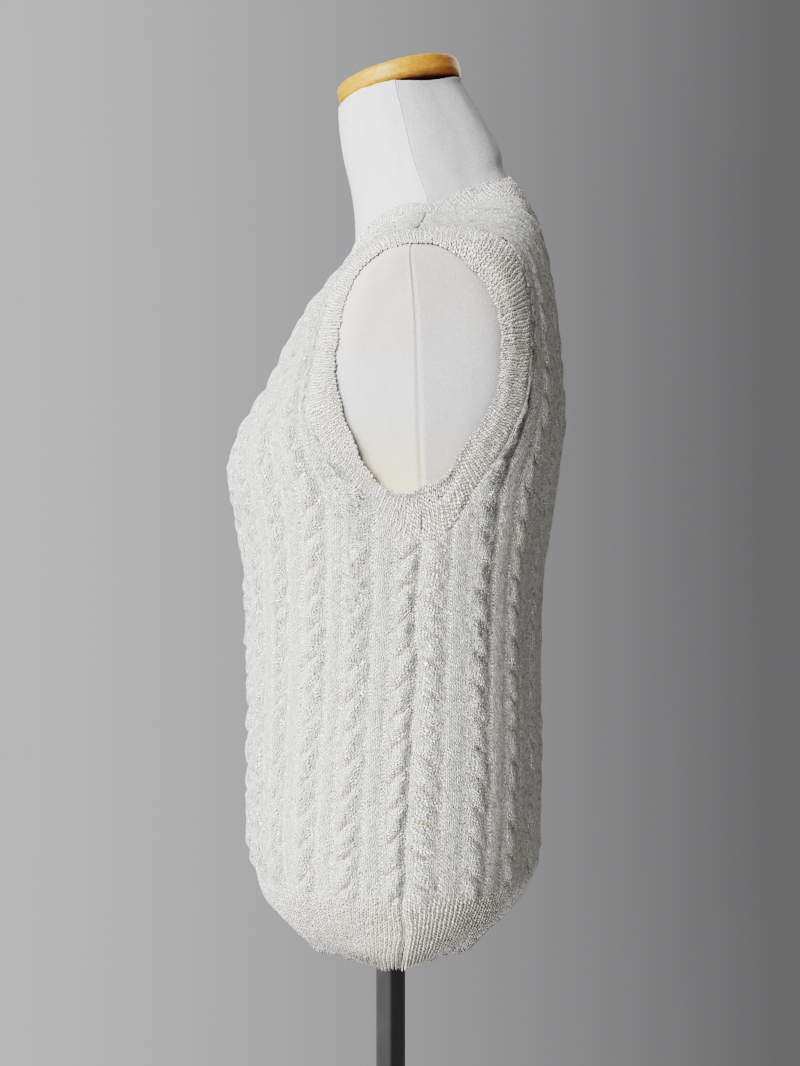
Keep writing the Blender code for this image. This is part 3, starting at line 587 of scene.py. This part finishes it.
def mesh_from_grid(name, points, finish, closed=False, knit=None, turn=0):
    """A piece from a grid of points, with its stitches as a UV map and two point attributes.

    turn is the number of stitches all round a closed piece.
    """
    rows, columns = points.shape[:2]
    quads = grid_quads(rows, columns, closed)
    mesh = bpy.data.meshes.new(name)
    mesh.vertices.add(rows * columns)
    mesh.vertices.foreach_set("co", points.reshape(-1).astype(np.float32))
    mesh.loops.add(quads.size)
    mesh.loops.foreach_set("vertex_index", quads.reshape(-1).astype(np.int32))
    mesh.polygons.add(len(quads))
    mesh.polygons.foreach_set("loop_start", np.arange(0, quads.size, 4, dtype=np.int32))
    mesh.update(calc_edges=True)
    mesh.shade_smooth()
    if knit is not None:
        layers = len(knit.stitch)
        top = knit.layer.reshape(-1)[quads[:, :1]]
        stitch = knit.stitch.reshape(layers, -1)[top, quads]
        course = knit.course.reshape(layers, -1)[top, quads]
        stitch = stitch + turn * (closed & (quads % columns == 0) & (quads[:, :1] % columns > 0))
        stitches = np.stack([stitch, course], axis=-1).reshape(-1)
        mesh.uv_layers.new(name="stitch").data.foreach_set("uv", stitches.astype(np.float32))
        for label, values in (("purl", knit.purl), ("hollow", knit.hollow)):
            attribute = mesh.attributes.new(label, "FLOAT", "POINT")
            attribute.data.foreach_set("value", values.reshape(-1).astype(np.float32))
    mesh.materials.append(finish)
    return placed(name, mesh)


def turned(name, profile, finish, steps=160):
    """A body turned round Z through (radius, height) points, listed top to bottom."""
    angles = np.linspace(0, math.tau, steps, endpoint=False)
    radius, height = np.array(profile)[::-1].T[..., None]
    radius = np.maximum(radius, 1e-5)
    points = np.stack(
        [radius * np.cos(angles), radius * np.sin(angles), height + 0 * angles], axis=-1
    )
    piece = mesh_from_grid(name, points, finish, closed=True)
    piece.data.set_sharp_from_angle(angle=math.radians(40))
    return piece


# ---- materials


class Value:
    """A node's output that can be written as a number in a sum."""

    def __init__(self, shader, socket):
        self.shader = shader
        self.socket = socket

    def math(self, operation, *others):
        inputs = enumerate((self, *others))
        return self.shader.node("ShaderNodeMath", 0, inputs, operation=operation)

    def __add__(self, other):
        return self.math("ADD", other)

    def __sub__(self, other):
        return self.math("SUBTRACT", other)

    def __mul__(self, other):
        return self.math("MULTIPLY", other)

    def __pow__(self, other):
        return self.math("POWER", other)

    def __abs__(self):
        return self.math("ABSOLUTE")

    def fract(self):
        return self.math("FRACT")


class Shader:
    """Short ways to write the node tree of a material or of the world."""

    def __init__(self, owner, end="Principled BSDF"):
        owner.use_nodes = True
        self.owner = owner
        self.tree = owner.node_tree
        self.end = self.tree.nodes[end]

    def put(self, socket, value):
        if isinstance(value, Value):
            self.tree.links.new(value.socket, socket)
        else:
            socket.default_value = value

    def node(self, kind, output, inputs=(), **settings):
        made = self.tree.nodes.new(kind)
        for key, value in settings.items():
            setattr(made, key, value)
        for key, value in dict(inputs).items():
            self.put(made.inputs[key], value)
        return Value(self, made.outputs[output])

    def place(self):
        return self.node("ShaderNodeTexCoord", "Object")

    def axes(self, vector):
        """X, Y and Z of a vector."""
        made = self.tree.nodes.new("ShaderNodeSeparateXYZ")
        self.put(made.inputs[0], vector)
        return [Value(self, output) for output in made.outputs]

    def stretched(self, vector, scale):
        return self.node("ShaderNodeMapping", 0, {"Vector": vector, "Scale": scale})

    def noise(self, vector, scale, detail=3.0, roughness=0.55):
        inputs = {"Vector": vector, "Scale": scale, "Detail": detail, "Roughness": roughness}
        return self.node("ShaderNodeTexNoise", 0, inputs)

    def attribute(self, name):
        return self.node("ShaderNodeAttribute", "Fac", attribute_name=name)

    def mix(self, factor, a, b, kind="RGBA"):
        inputs = {"Factor": factor, "A": a, "B": b}
        return self.node("ShaderNodeMix", "Result", inputs, data_type=kind)

    def ramp(self, value, low, high):
        inputs = {"Value": value, "From Min": low, "From Max": high}
        return self.node("ShaderNodeMapRange", 0, inputs, interpolation_type="SMOOTHSTEP")

    def bump(self, height, distance, strength=1.0):
        inputs = {"Height": height, "Distance": distance, "Strength": strength}
        return self.node("ShaderNodeBump", 0, inputs)

    def finish(self, **values):
        for key, value in values.items():
            self.put(self.end.inputs[key.replace("_", " ")], value)
        return self.owner


def yarn_material():
    """Slubby off-white yarn in knit and purl stitches, read from the piece's stitch numbers."""
    shader = Shader(bpy.data.materials.new("knit_yarn"))
    place = shader.node("ShaderNodeUVMap", 0, uv_map="stitch")
    stitch, course, _ = shader.axes(place)
    course = (shader.noise(place, 0.75, 2.0) - 0.5) * 2.0 + course
    aside = shader.node("ShaderNodeCombineXYZ", 0, {"X": course, "Y": stitch, "Z": 7.0})
    stitch = (shader.noise(aside, 0.9, 1.0) - 0.5) * 0.6 + stitch

    # A knit stitch is two legs that lean together, each with a round back.
    within = stitch.fract()
    off = abs(within - 0.5) * 2.0
    second = within.math("GREATER_THAN", 0.5)
    phase = (off * -0.75 + (second * 0.5 + course)).fract()
    leg = (phase * math.pi).math("SINE")
    back = abs(off * 2.0 - 1.0) ** 2.0 * -1.0 + 1.0
    knit = leg**0.7 * back.math("SQRT")

    # A purl stitch is a bowed ridge across its column.
    across = (stitch * math.tau).math("COSINE")
    ridge = ((across * 0.22 + course).fract() * math.pi).math("SINE")
    purl = shader.attribute("purl")
    slub = shader.noise(place, 0.55, 2.0, 0.7)
    fibre = shader.noise(place, 2.0, 3.0, 0.8)
    thick = shader.ramp(slub, 0.30, 0.70) * 0.6 + 0.7
    height = fibre * 0.85 + shader.mix(purl, knit, ridge, "FLOAT") * thick
    along = (course * math.tau).math("COSINE")
    stitch_hole_shade = shader.ramp(fibre * -0.7 + across * along, -0.25, 0.40)

    hollow = shader.attribute("hollow")
    # Painted light and shade on the stitches: their tops are painted light, the highest with
    # painted highlights, and the gaps between them are painted dark.
    lit = shader.ramp(slub * 0.5 + height, 0.52, 1.50) ** 1.5
    stitch_light_and_shade = shader.mix(lit, (0.17, 0.155, 0.13, 1), (1.0, 0.99, 0.965, 1))
    # Painted warm shade: a darker cream mixed in along the purl gutters and in the hollows.
    cream = shader.mix(lit, (0.40, 0.34, 0.245, 1), (0.82, 0.74, 0.60, 1))
    warm_shade = purl * 0.25 + shader.ramp(hollow, 0.38, 0.95) * 0.75
    colour = shader.mix(warm_shade, stitch_light_and_shade, cream)
    patch = shader.ramp(shader.noise(place, 0.06, 2.0), 0.35, 0.70) * 0.20
    colour = shader.mix(patch, colour, (0.86, 0.81, 0.73, 1))
    # Painted shade darkening the deepest hollows, rib valleys and creases between strands.
    hollow_shade = shader.ramp(hollow, 0.45, 1.0) * 0.50
    colour = shader.mix(hollow_shade, colour, (0.22, 0.185, 0.135, 1))
    # Painted shade in the holes between stitches.
    colour = shader.mix(stitch_hole_shade * 0.72, colour, (0.09, 0.08, 0.065, 1))
    return shader.finish(
        Base_Color=colour,
        Roughness=0.88,
        Normal=shader.bump(height, 0.0010),
        Specular_IOR_Level=0.18,
        Sheen_Weight=0.25,
        Sheen_Roughness=0.5,
    )


def jersey_material():
    """Fine white jersey, a little pink towards the shoulder, with painted warm bounce light and
    shade in cream towards the underarm.

    The back half is painted greyer, as painted shade on the side of the form turned from the
    light.
    """
    shader = Shader(bpy.data.materials.new("form_jersey"))
    place = shader.place()
    x, y, z = shader.axes(place)
    waves = [
        (axis * (math.tau / pitch)).math("SINE")
        for axis, pitch in ((y, 0.0011), (x, 0.0011), (z, 0.0014))
    ]
    weave = waves[0] * waves[1] + waves[2]
    grain = shader.noise(place, 600.0, 3.0, 0.7)
    slack = shader.noise(shader.stretched(place, (160.0, 160.0, 7.0)), 1.0, 2.0)
    plate = shader.ramp(abs(x), 0.120, 0.140)
    high = shader.ramp(z, DATUM + 0.085, DATUM + 0.180)
    low = shader.ramp(z, DATUM + 0.085, DATUM + 0.030)
    colour = shader.mix(slack, (0.425, 0.425, 0.42, 1), (0.49, 0.49, 0.485, 1))
    colour = shader.mix(plate * high * 0.9, colour, (0.48, 0.405, 0.36, 1))
    # Painted warm bounce light and shade on the arm plates towards the underarm, under the
    # armband.
    colour = shader.mix(plate * low * 0.9, colour, (0.58, 0.50, 0.36, 1))
    # Painted shade: the back half of the cover is painted greyer.
    colour = shader.mix(shader.attribute("painted_rear_shade") * 0.55, colour, (0.30, 0.30, 0.305, 1))
    speck = shader.ramp(grain, 0.25, 0.75)
    colour = shader.mix(speck * 0.16, colour, (0.93, 0.93, 0.93, 1))
    return shader.finish(
        Base_Color=colour,
        Roughness=0.85,
        Normal=shader.bump(weave * 0.18 + grain, 0.0003, 0.8),
        Specular_IOR_Level=0.2,
        Sheen_Weight=0.15,
        Sheen_Roughness=0.5,
    )


def wood_material():
    """Light laminated wood: streaks along X, with thin glue lines round the rim."""
    shader = Shader(bpy.data.materials.new("cap_wood"))
    place = shader.place()
    streak = shader.noise(shader.stretched(place, (14.0, 260.0, 420.0)), 1.0, 4.0, 0.6)
    fibre = shader.noise(shader.stretched(place, (60.0, 1500.0, 1500.0)), 1.0, 3.0, 0.7)
    streak = shader.ramp(streak, 0.30, 0.70)
    colour = shader.mix(streak, (0.37, 0.135, 0.026, 1), (0.51, 0.235, 0.058, 1))
    ply = (shader.axes(place)[2] * (1 / CAP_PLY)).fract()
    glue = shader.ramp(abs(ply - 0.5), 0.40, 0.49)
    colour = shader.mix(glue * 0.55, colour, (0.33, 0.12, 0.02, 1))
    colour = shader.mix(fibre * 0.25, colour, (0.74, 0.43, 0.145, 1))
    return shader.finish(
        Base_Color=colour,
        Roughness=fibre * 0.18 + 0.42,
        Normal=shader.bump(glue * -0.6 + fibre, 0.00012, 0.5),
        Coat_Weight=0.12,
        Coat_Roughness=0.35,
    )


def steel_material():
    """Dark polished steel with faint drawing marks and smudges."""
    shader = Shader(bpy.data.materials.new("stand_steel"))
    place = shader.place()
    drawn = shader.noise(shader.stretched(place, (2200.0, 2200.0, 9.0)), 1.0, 2.0)
    smudge = shader.noise(place, 26.0, 4.0, 0.6)
    return shader.finish(
        Base_Color=shader.mix(smudge, (0.24, 0.24, 0.24, 1), (0.35, 0.345, 0.34, 1)),
        Metallic=1.0,
        Roughness=shader.ramp(smudge, 0.35, 0.75) * 0.12 + 0.10,
        Normal=shader.bump(drawn, 0.00003, 0.35),
    )


def floor_material():
    shader = Shader(bpy.data.materials.new("floor_paint"))
    grain = shader.noise(shader.place(), 30.0, 4.0, 0.6)
    return shader.finish(
        Base_Color=shader.mix(grain, (0.5828, 0.5828, 0.5781, 1), (0.62, 0.62, 0.615, 1)),
        Roughness=0.8,
        Normal=shader.bump(grain, 0.0004, 0.2),
    )


# ---- knitted pieces


def rim_rows(wall, turned_in, steps=8):
    """(length, share of the wall's height) round a free edge, from its inner face outwards."""
    rows = [(back, 0.0) for back in np.linspace(turned_in, wall * 0.6, 5)]
    for step in range(steps + 1):
        turn = math.radians(-90 + 180 * step / steps)
        rows.append((wall / 2 * (1 - math.cos(turn)), 0.5 + 0.5 * math.sin(turn)))
    return rows


def seam_wander(v):
    """How far the side seam strays along the body at a length from the hem."""
    return 0.0018 * WAVES.at(v / 0.020 + 5.3, 0) + 0.0012 * WAVES.at(v / 0.055, 9)


def panel_points(drape, share, v, lift, knit, top_gap):
    """Places of a panel's outer face, with its seams drawn in and its puckers."""
    point, normal = drape.base(share, v)
    quarter = drape.cut.quarter
    from_side = (1 - np.abs(share)) * quarter
    side = np.exp(-((from_side / 0.0024) ** 2))
    end = np.exp(-((top_gap / 0.0022) ** 2))
    pucker = PUCKERS.at(v / 0.007 + np.sign(share) * 9, from_side / 0.012)
    near_side = np.exp(-((from_side / 0.014) ** 2))
    height = CLOTH + knit.height * (1 - 0.7 * np.maximum(side, end))
    height += 0.0007 * pucker * near_side - np.maximum(0.0011 * side, 0.0005 * end)
    point = point + normal * (height * lift)[..., None]
    point[..., 1] += seam_wander(v) * np.exp(-((from_side / 0.010) ** 2)) * (from_side < 0.03)
    return point


def panel_piece(name, drape, rows_of, shares, with_rim, finish):
    """A knitted piece of a panel over a grid of shares and lengths, its columns astray."""
    quarter = drape.cut.quarter
    top = np.interp(np.abs(shares), *drape.top())
    length, lift = rows_of(top)
    v = np.maximum(length, 0)
    flat = np.broadcast_to(shares * quarter, v.shape)
    knit = panel_knit(flat, v, drape.cut)
    relief = FRONT_RELIEF if drape.front else BACK_RELIEF
    rise = mixed(relief.middle, relief.seam, smoothstep(0.70, 1.0, np.abs(shares)))
    rise = mixed(1, rise, smoothstep(0.045, 0.080, v))
    rise = rise * (1 - relief.eased * smoothstep(0.30, 0.42, v))
    knit = knit._replace(height=knit.height * rise)
    slope = np.gradient(top, shares * quarter)
    gap = np.maximum(top - v, 0) / np.sqrt(1 + slope**2)
    free = smoothstep(0, 0.006, (1 - np.abs(shares)) * quarter)
    share = (flat + STITCH * column_wander(flat, v) * free) / quarter
    points = panel_points(drape, share, v, lift, knit, gap)
    if with_rim:
        stray = 0.0018 * WAVES.at(flat / 0.011 + 40, 2)
        stray += 0.0008 * LUMPS.at(flat / HEM_RIB + 20, 6)
        stray += 0.0010 * np.cos(math.tau * flat / HEM_RIB)
        points[..., 2] += stray * np.exp(-((v / 0.010) ** 2))
    return mesh_from_grid(name, points, finish, knit=knit)


def panel_pieces(name, drape, finish):
    """The hem rib and the cabled body of one panel."""
    wall = CLOTH + RIB_RISE
    outer = np.linspace(wall / 2, HEM_PIECE_LENGTH, 48)[1:]
    rows = np.array(rim_rows(wall, 0.014) + [(v, 1.0) for v in outer])

    def hem_rows(top):
        return rows[:, :1] + 0 * top, rows[:, 1:] + 0 * top

    def body_rows(top):
        along = np.minimum(np.linspace(0, 1 + 1 / BODY_ROWS, BODY_ROWS), 1)[:, None]
        v = HEM_PIECE_LENGTH + (top[None, :] - HEM_PIECE_LENGTH) * along
        lift = np.ones_like(v)
        lift[-1] = -0.2
        return v, lift

    ribs = round(2 * drape.cut.quarter / HEM_RIB)
    hem_shares = np.linspace(-1, 1, POINTS_PER_RIB * ribs + 1)
    body_shares = np.linspace(-1, 1, BODY_COLUMNS)
    hem = panel_piece(name + "_hem_rib", drape, hem_rows, hem_shares, True, finish)
    body = panel_piece(name + "_cables", drape, body_rows, body_shares, False, finish)
    return hem, body


def relaxed(grid, passes):
    """A closed grid of points evened along both ways, its first and last rows kept."""
    for _ in range(passes):
        grid = (np.roll(grid, 1, axis=1) + 2 * grid + np.roll(grid, -1, axis=1)) / 4
        middle = (grid[:-2] + 2 * grid[1:-1] + grid[2:]) / 4
        grid = np.concatenate([grid[:1], middle, grid[-1:]])
    return grid


def along_closed(points, count):
    """A number of points spread evenly along a closed line."""
    return spread(np.concatenate([points, points[:1]]), np.arange(count) / count)


def laid_on(tree, points, lifts):
    """Each point moved to the nearest place on the skin, and lifted off it."""
    laid = []
    for point, lift in zip(points.reshape(-1, 3).tolist(), lifts.reshape(-1), strict=True):
        place, normal, _, _ = tree.find_nearest(point)
        laid.append(np.array(place) + np.array(normal) * lift)
    return np.reshape(laid, points.shape)


def band_piece(name, tree, edge, opening, lifts, width, ribs, trough, finish):
    """A ribbed band from its seam to its free edge, over the rim and a little way in.

    edge and opening are closed lines of matching points, and lifts how far the free edge stands
    off the form. trough says how much a place is drawn in, by station and share of the width.
    """
    across = np.linspace(-BAND_UNDERLAP, 1, BAND_ROWS)[:, None, None]
    lines = mixed(edge[None], opening[None], across)
    lift = lifts[None, :] * np.clip(across[..., 0], 0, 1) ** 2
    base = relaxed(laid_on(tree, lines, lift), 3)
    count = ribs * POINTS_PER_RIB
    turn = np.arange(count) / count
    place = turn * len(edge)
    low = place.astype(int)
    near = [base[:, (low + step) % len(edge)] for step in (-1, 0, 1, 2)]
    base = catmull_rom(*near, (place - low)[None, :, None])

    wall = CLOTH + RIB_RISE
    outer = np.linspace(-BAND_UNDERLAP, 1 - wall / 2 / width, 34)
    rim = rim_rows(wall, 0.009)[-2::-1]
    w = np.concatenate([outer, [1 - back / width for back, _ in rim]])
    raised = np.concatenate([np.ones(len(outer)), [high for _, high in rim]])
    position = (w + BAND_UNDERLAP) / (1 + BAND_UNDERLAP) * (BAND_ROWS - 1)
    step = np.clip(position.astype(int), 0, BAND_ROWS - 2)
    part = (position - step)[:, None, None]
    points = mixed(base[step], base[step + 1], part)
    normals = round_normals(base)
    middle = BAND_ROWS // 2
    if (normals[middle] * (base[middle] - base.mean(axis=(0, 1)))).sum() < 0:
        normals = -normals
    normal = unit(mixed(normals[step], normals[step + 1], part))

    w = w[:, None]
    whole = np.ones((len(w), count))
    rib = whole * np.arange(count) / POINTS_PER_RIB
    rib = rib + 0.34 * SWAY.at(rib / 2.1, w * 4) + 0.15 * SWAY.at(rib / 7, w * 2)
    course = whole * w * width / COURSE
    knit = rib_knit(rib, course, 0.44)
    seam = np.clip(np.exp(-((w * width / 0.0022) ** 2)) + (w < 0) * 0.6, 0, 1)
    ease = 1 - 0.8 * seam
    chain = hump(w, 1 - 0.0016 / width, 0.0026 / width)
    bead = 0.5 - 0.5 * np.cos(math.tau * (w * width / COURSE))
    height = CLOTH + BAND_RELIEF * knit.height * ease * (1 - 0.6 * chain)
    height -= 0.0004 * seam + 0.0018 * smoothstep(0.60, 1.0, w) + 0.0012 * (w < -0.03)
    height += 0.0002 * bead * (1 - knit.hollow) * (1 - chain)
    height += chain * (0.0004 + 0.0002 * np.cos(2 * math.tau * rib))
    height += 0.0004 * LUMPS.at(rib / 2.7, w * 5 + 20)
    height += 0.0006 * WAVES.at(rib / 9, w * 2 + 50)
    height -= trough(turn[None, :], w)
    points = points + normal * (height * raised[:, None])[..., None]

    inward = unit(base[-1] - base[-3])
    stray = 0.0009 * WAVES.at(turn * ribs / 5, 7)
    stray += 0.0008 * LUMPS.at(turn * ribs / 1.3, 3)
    stray += 0.0005 * np.cos(math.tau * (turn * ribs - 0.5))
    stray = stray[None, :] * smoothstep(0.75, 1.0, w)
    points = points + inward[None] * stray[..., None]
    # The seam is added to the hollows, where the yarn paints shade.
    knit = knit._replace(hollow=np.clip(knit.hollow * ease + 0.5 * seam, 0, 1))
    return mesh_from_grid(name, points, finish, closed=True, knit=knit, turn=ribs)


def armhole_line(front, back):
    """The closed edge round one armhole, on the skin."""
    fore, aft = (drape.base(*drape.armhole_edge())[0] for drape in (front, back))
    return np.concatenate([fore, aft[::-1][1:-1]])


def arm_opening(edge, side):
    """The arm opening's edge beside each point of the band's outer edge, its lift and angle."""
    y = edge[:, 1] - ARM_CENTRE_Y
    z = edge[:, 2] - DATUM - ARM_CENTRE_Z
    angle = np.degrees(np.arctan2(z, y)) % 360
    around = [np.array(ARM_OPENING) + np.array([start, 0, 0]) for start in (-360, 0, 360)]
    angles, radii, lifts = np.concatenate(around).T
    radius = cubic(angle, angles, radii)
    lift = np.interp(angle, angles, lifts)
    turn = np.radians(angle)
    y = ARM_CENTRE_Y + radius * np.cos(turn)
    z = DATUM + ARM_CENTRE_Z + radius * np.sin(turn)
    return np.stack([side * arm_plate_x(z), y, z], axis=1), lift, angle


def armband_piece(name, tree, front, back, side, finish):
    line = armhole_line(front, back)
    line[:, 0] *= side
    edge = along_closed(line, 2 * ARMBAND_RIBS)
    opening, lift, angle = arm_opening(edge, side)
    width = float(np.linalg.norm(opening - edge, axis=1).mean())

    def trough(turn, w):
        at = np.interp(turn * len(angle), np.arange(len(angle)), np.unwrap(angle, period=360))
        tuck = hump(at % 360, 280, 17) * hump(w, 0.74, 0.20)
        return 0.0030 * tuck

    return band_piece(name, tree, edge, opening, lift, width, ARMBAND_RIBS, trough, finish)


def neckline(front, back):
    """The closed neckline edge of the panels, from the centre front round by the left."""
    fore, aft = (drape.base(*drape.neck_edge())[0] for drape in (front, back))
    left = np.concatenate([fore, aft[::-1][1:]])
    right = left[::-1][1:-1] * np.array([-1, 1, 1])
    return np.concatenate([left, right])


def evened(vectors):
    """Each vector of a closed run replaced by a weighted mean of those near it."""
    reach = len(vectors) // 10
    total = np.zeros_like(vectors)
    for step in range(-reach, reach + 1):
        total += np.roll(vectors, step, axis=0) * (reach + 1 - abs(step))
    return unit(total)


def neckband_piece(name, tree, front, back, finish):
    line = neckline(front, back)
    edge = along_closed(line, 2 * NECKBAND_RIBS)
    along = np.roll(edge, -1, axis=0) - np.roll(edge, 1, axis=0)
    normals = np.array([tree.find_nearest(point)[1] for point in edge.tolist()])
    inward = evened(unit(np.cross(normals, along)))
    near_front = np.clip(1 - np.abs(edge[:, 0]) / NECK_HALF_WIDTH, 0, 1)
    near_front *= edge[:, 1] < NECK_SIDE_Y
    lift = mixed(NECKBAND_LIFT, NECKBAND_LIFT_FRONT, near_front)
    opening = edge + inward * NECKBAND_WIDTH
    return band_piece(
        name, tree, edge, opening, lift, NECKBAND_WIDTH, NECKBAND_RIBS, lambda turn, w: 0.0, finish
    )


# ---- form and stand


def form_piece(finish):
    """The jersey-covered torso with a sewn seam down each side."""
    rows = np.linspace(FORM_BOTTOM_ROW, NECK_TOP_ROW, 120)
    near_seam = np.array([0.4, 0.8, 1.2, 1.7, 2.4, 3.4]) / MM_PER_RADIAN
    near_seam = np.concatenate([-near_seam[::-1], [0], near_seam])
    angles = np.linspace(0, math.tau, 160, endpoint=False)
    away = np.min([np.abs(angles - side) for side, _ in FORM_SEAMS], axis=0)
    beside = [side + near_seam for side, _ in FORM_SEAMS]
    angles = np.sort(np.concatenate([angles[away > 0.055], *beside]))
    lean = -0.15 * hump(rows, 20.4, 2.4)[:, None]
    leaning = angles + lean * sum(hump(angles, side, 1.0) * way for side, way in FORM_SEAMS)
    grid = cut_by_arm_plates(skin(leaning, np.broadcast_to(rows[:, None], leaning.shape)))
    inset = np.minimum(section_at(rows).inset, FORM_INSET)[:, None]
    normals = round_normals(grid)
    seam = np.zeros_like(angles)
    for side, way in FORM_SEAMS:
        gap = (angles - side) * way * MM_PER_RADIAN
        seam += hump(gap, 0, 0.6) * -0.0010 + hump(gap, -1.0, 0.8) * 0.0002
        seam -= 0.0030 * np.clip(gap / 42, 0, 1) * smoothstep(85, 42, gap)
    soft = 0.0003 * WAVES.at(angles[None, :] * 9, rows[:, None] * 1.3)
    body = grid - normals * (inset - seam[None, :] - soft)[..., None]
    centre = np.array([0, 0.004, 0])
    rings = []
    for shrink, drop in ((1e-4, 16), (0.40, 16), (0.72, 16), (0.90, 12), (0.97, 6)):
        ring = centre + (body[0] - centre) * shrink
        ring[:, 2] = body[0, :, 2].mean() - drop * MM
        rings.append(ring)
    top = body[-1] + np.array([0, 0, CAP_SEAT])
    middle = top.mean(axis=0)
    lid = [middle + (top - middle) * shrink for shrink in (1.0, 0.97, 0.5, 1e-4)]
    grid = np.concatenate([rings, body, lid])
    piece = mesh_from_grid("form_cover", grid, finish, closed=True)
    # The back half is marked for the jersey's painted shade.
    painted_rear_shade = np.broadcast_to(np.clip(-np.cos(angles) * 1e3, 0, 1), grid.shape[:2])
    attribute = piece.data.attributes.new("painted_rear_shade", "FLOAT", "POINT")
    attribute.data.foreach_set("value", painted_rear_shade.reshape(-1).astype(np.float32))
    return piece


def rounded_disc(radius, thickness, rounding, steps=6):
    """The profile of a disc with rounded rims, top to bottom, about its own middle."""
    half = thickness / 2
    upper = [(0.0, half), (radius * 0.5, half)]
    for step in range(steps + 1):
        turn = math.radians(90 - 90 * step / steps)
        x = radius - rounding + rounding * math.cos(turn)
        upper.append((x, half - rounding + rounding * math.sin(turn)))
    upper.append((radius, half * 0.33))
    lower = [(x, -z) for x, z in reversed(upper)]
    return [*upper, (radius, 0.0), *lower]


def cap_piece(finish):
    cap = turned("cap_disc", rounded_disc(CAP_RADIUS, CAP_THICKNESS, CAP_ROUNDING), finish)
    cap.location = CAP_PLACE
    cap.rotation_euler = (CAP_TILT, 0, 0)
    return cap


def softened(profile, radius, steps=4):
    """A turned profile with each corner but its ends rounded."""
    points = [np.array(point, float) for point in profile]
    made = [tuple(points[0])]
    for before, corner, after in zip(points, points[1:], points[2:]):
        arms = (before - corner, after - corner)
        reach = min(radius, *(0.45 * np.linalg.norm(arm) for arm in arms))
        start, end = (corner + unit(arm) * reach for arm in arms)
        for t in np.linspace(0, 1, steps + 1):
            made.append(tuple(start * (1 - t) ** 2 + corner * 2 * t * (1 - t) + end * t**2))
    made.append(tuple(points[-1]))
    return made


def stand_pieces(finish):
    """Turned pieces over the base plate, ferrule, socket and pole, at the solids' sizes."""
    made = {}
    for node in ("base_plate", "pole_ferrule", "pole_socket", "pole"):
        low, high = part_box(node)
        radius = high.x
        side = [(radius, high.z)]
        if node == "pole_ferrule":
            top = radius * FERRULE_TOP
            side = [(top, high.z), (top + 0.05 * radius, high.z - 0.003), (radius, low.z + 0.004)]
        profile = [(0, high.z), *side, (radius, low.z), (0, low.z)]
        rounding = POLE_ROUNDING if node == "pole" else STAND_ROUNDING
        made[node] = turned(node + "_turned", softened(profile, rounding), finish)
    return made


# ---- stage


def add_light(light):
    data = bpy.data.lights.new(light.name, "AREA")
    data.shape = "RECTANGLE"
    data.size, data.size_y = light.size
    data.energy = light.power
    data.color = light.colour
    made = placed(light.name, data)
    made.location = light.place
    made.visible_camera = False
    x, y, z = np.array(LIT_PLACE) - np.array(light.place)
    made.rotation_euler = (math.atan2(math.hypot(x, y), -z), 0, math.atan2(-x, y))


def stage_pieces():
    bpy.ops.mesh.primitive_circle_add(vertices=96, radius=1.55, fill_type="NGON")
    floor = bpy.context.active_object
    floor.name = "studio_floor"
    floor.location.z = -0.0005
    floor.data.materials.append(floor_material())

    sky = Shader(bpy.data.worlds.new("studio"), "Background")
    across = sky.axes(sky.node("ShaderNodeTexCoord", "Generated"))[1]
    limits = {"From Min": -0.20, "From Max": 0.20, "To Min": 0.40, "To Max": 0.14}
    strength = sky.node("ShaderNodeMapRange", 0, {"Value": across, **limits})
    bpy.context.scene.world = sky.finish(Strength=strength, Color=(0.98, 0.985, 1.0, 1))
    for light in LIGHTS:
        add_light(light)


def camera():
    data = bpy.data.cameras.new("camera")
    data.sensor_width = 36.0
    data.lens = CAMERA_LENS
    made = placed("camera", data)
    made.location = CAMERA_PLACE
    made.rotation_euler = (math.radians(90), 0, math.radians(90))
    bpy.context.scene.camera = made


# ---- build


def panel_area(drape):
    shares, lengths = drape.top()
    return 2 * float(np.trapz(lengths, shares * drape.cut.quarter))


def dress(piece, node):
    """Sets a piece in its node's place on the part's one body."""
    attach(piece, "root")
    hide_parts(node)


def build():
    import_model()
    bpy.context.scene.view_settings.view_transform = "Filmic"
    bpy.context.scene.view_settings.look = "Very High Contrast"
    camera()

    tree = skin_tree()
    front = Drape(FRONT_CUT, front=True)
    back = Drape(BACK_CUT, front=False)
    yarn = yarn_material()

    for node, drape in (("front_panel", front), ("back_panel", back)):
        hem, body = panel_pieces(node.replace("_panel", ""), drape, yarn)
        width = 2 * drape.cut.quarter
        rib_width = 2 * drape.cut.hem_ribs * RIB_STITCH
        body_length = float(drape.top()[1].max()) - HEM_PIECE_LENGTH
        body_area = panel_area(drape) - width * HEM_PIECE_LENGTH
        cuts = (
            (hem, (rib_width, HEM_PIECE_LENGTH), rib_width * HEM_PIECE_LENGTH),
            (body, (width, body_length), body_area),
        )
        for piece, flat, area in cuts:
            dress(piece, node)

    for node, side in (("armband_left", 1), ("armband_right", -1)):
        piece = armband_piece(node + "_rib", tree, front, back, side, yarn)
        dress(piece, node)
        flat = (2 * ARMBAND_RIBS * RIB_STITCH, ARMBAND_WIDTH + TURNED_EDGE)
    piece = neckband_piece("neckband_rib", tree, front, back, yarn)
    dress(piece, "neckband")
    flat = (2 * NECKBAND_RIBS * RIB_STITCH, NECKBAND_WIDTH + TURNED_EDGE)

    dress(form_piece(jersey_material()), "dress_form")
    dress(cap_piece(wood_material()), "neck_cap")
    for node, piece in stand_pieces(steel_material()).items():
        dress(piece, node)

    stage_pieces()


build()
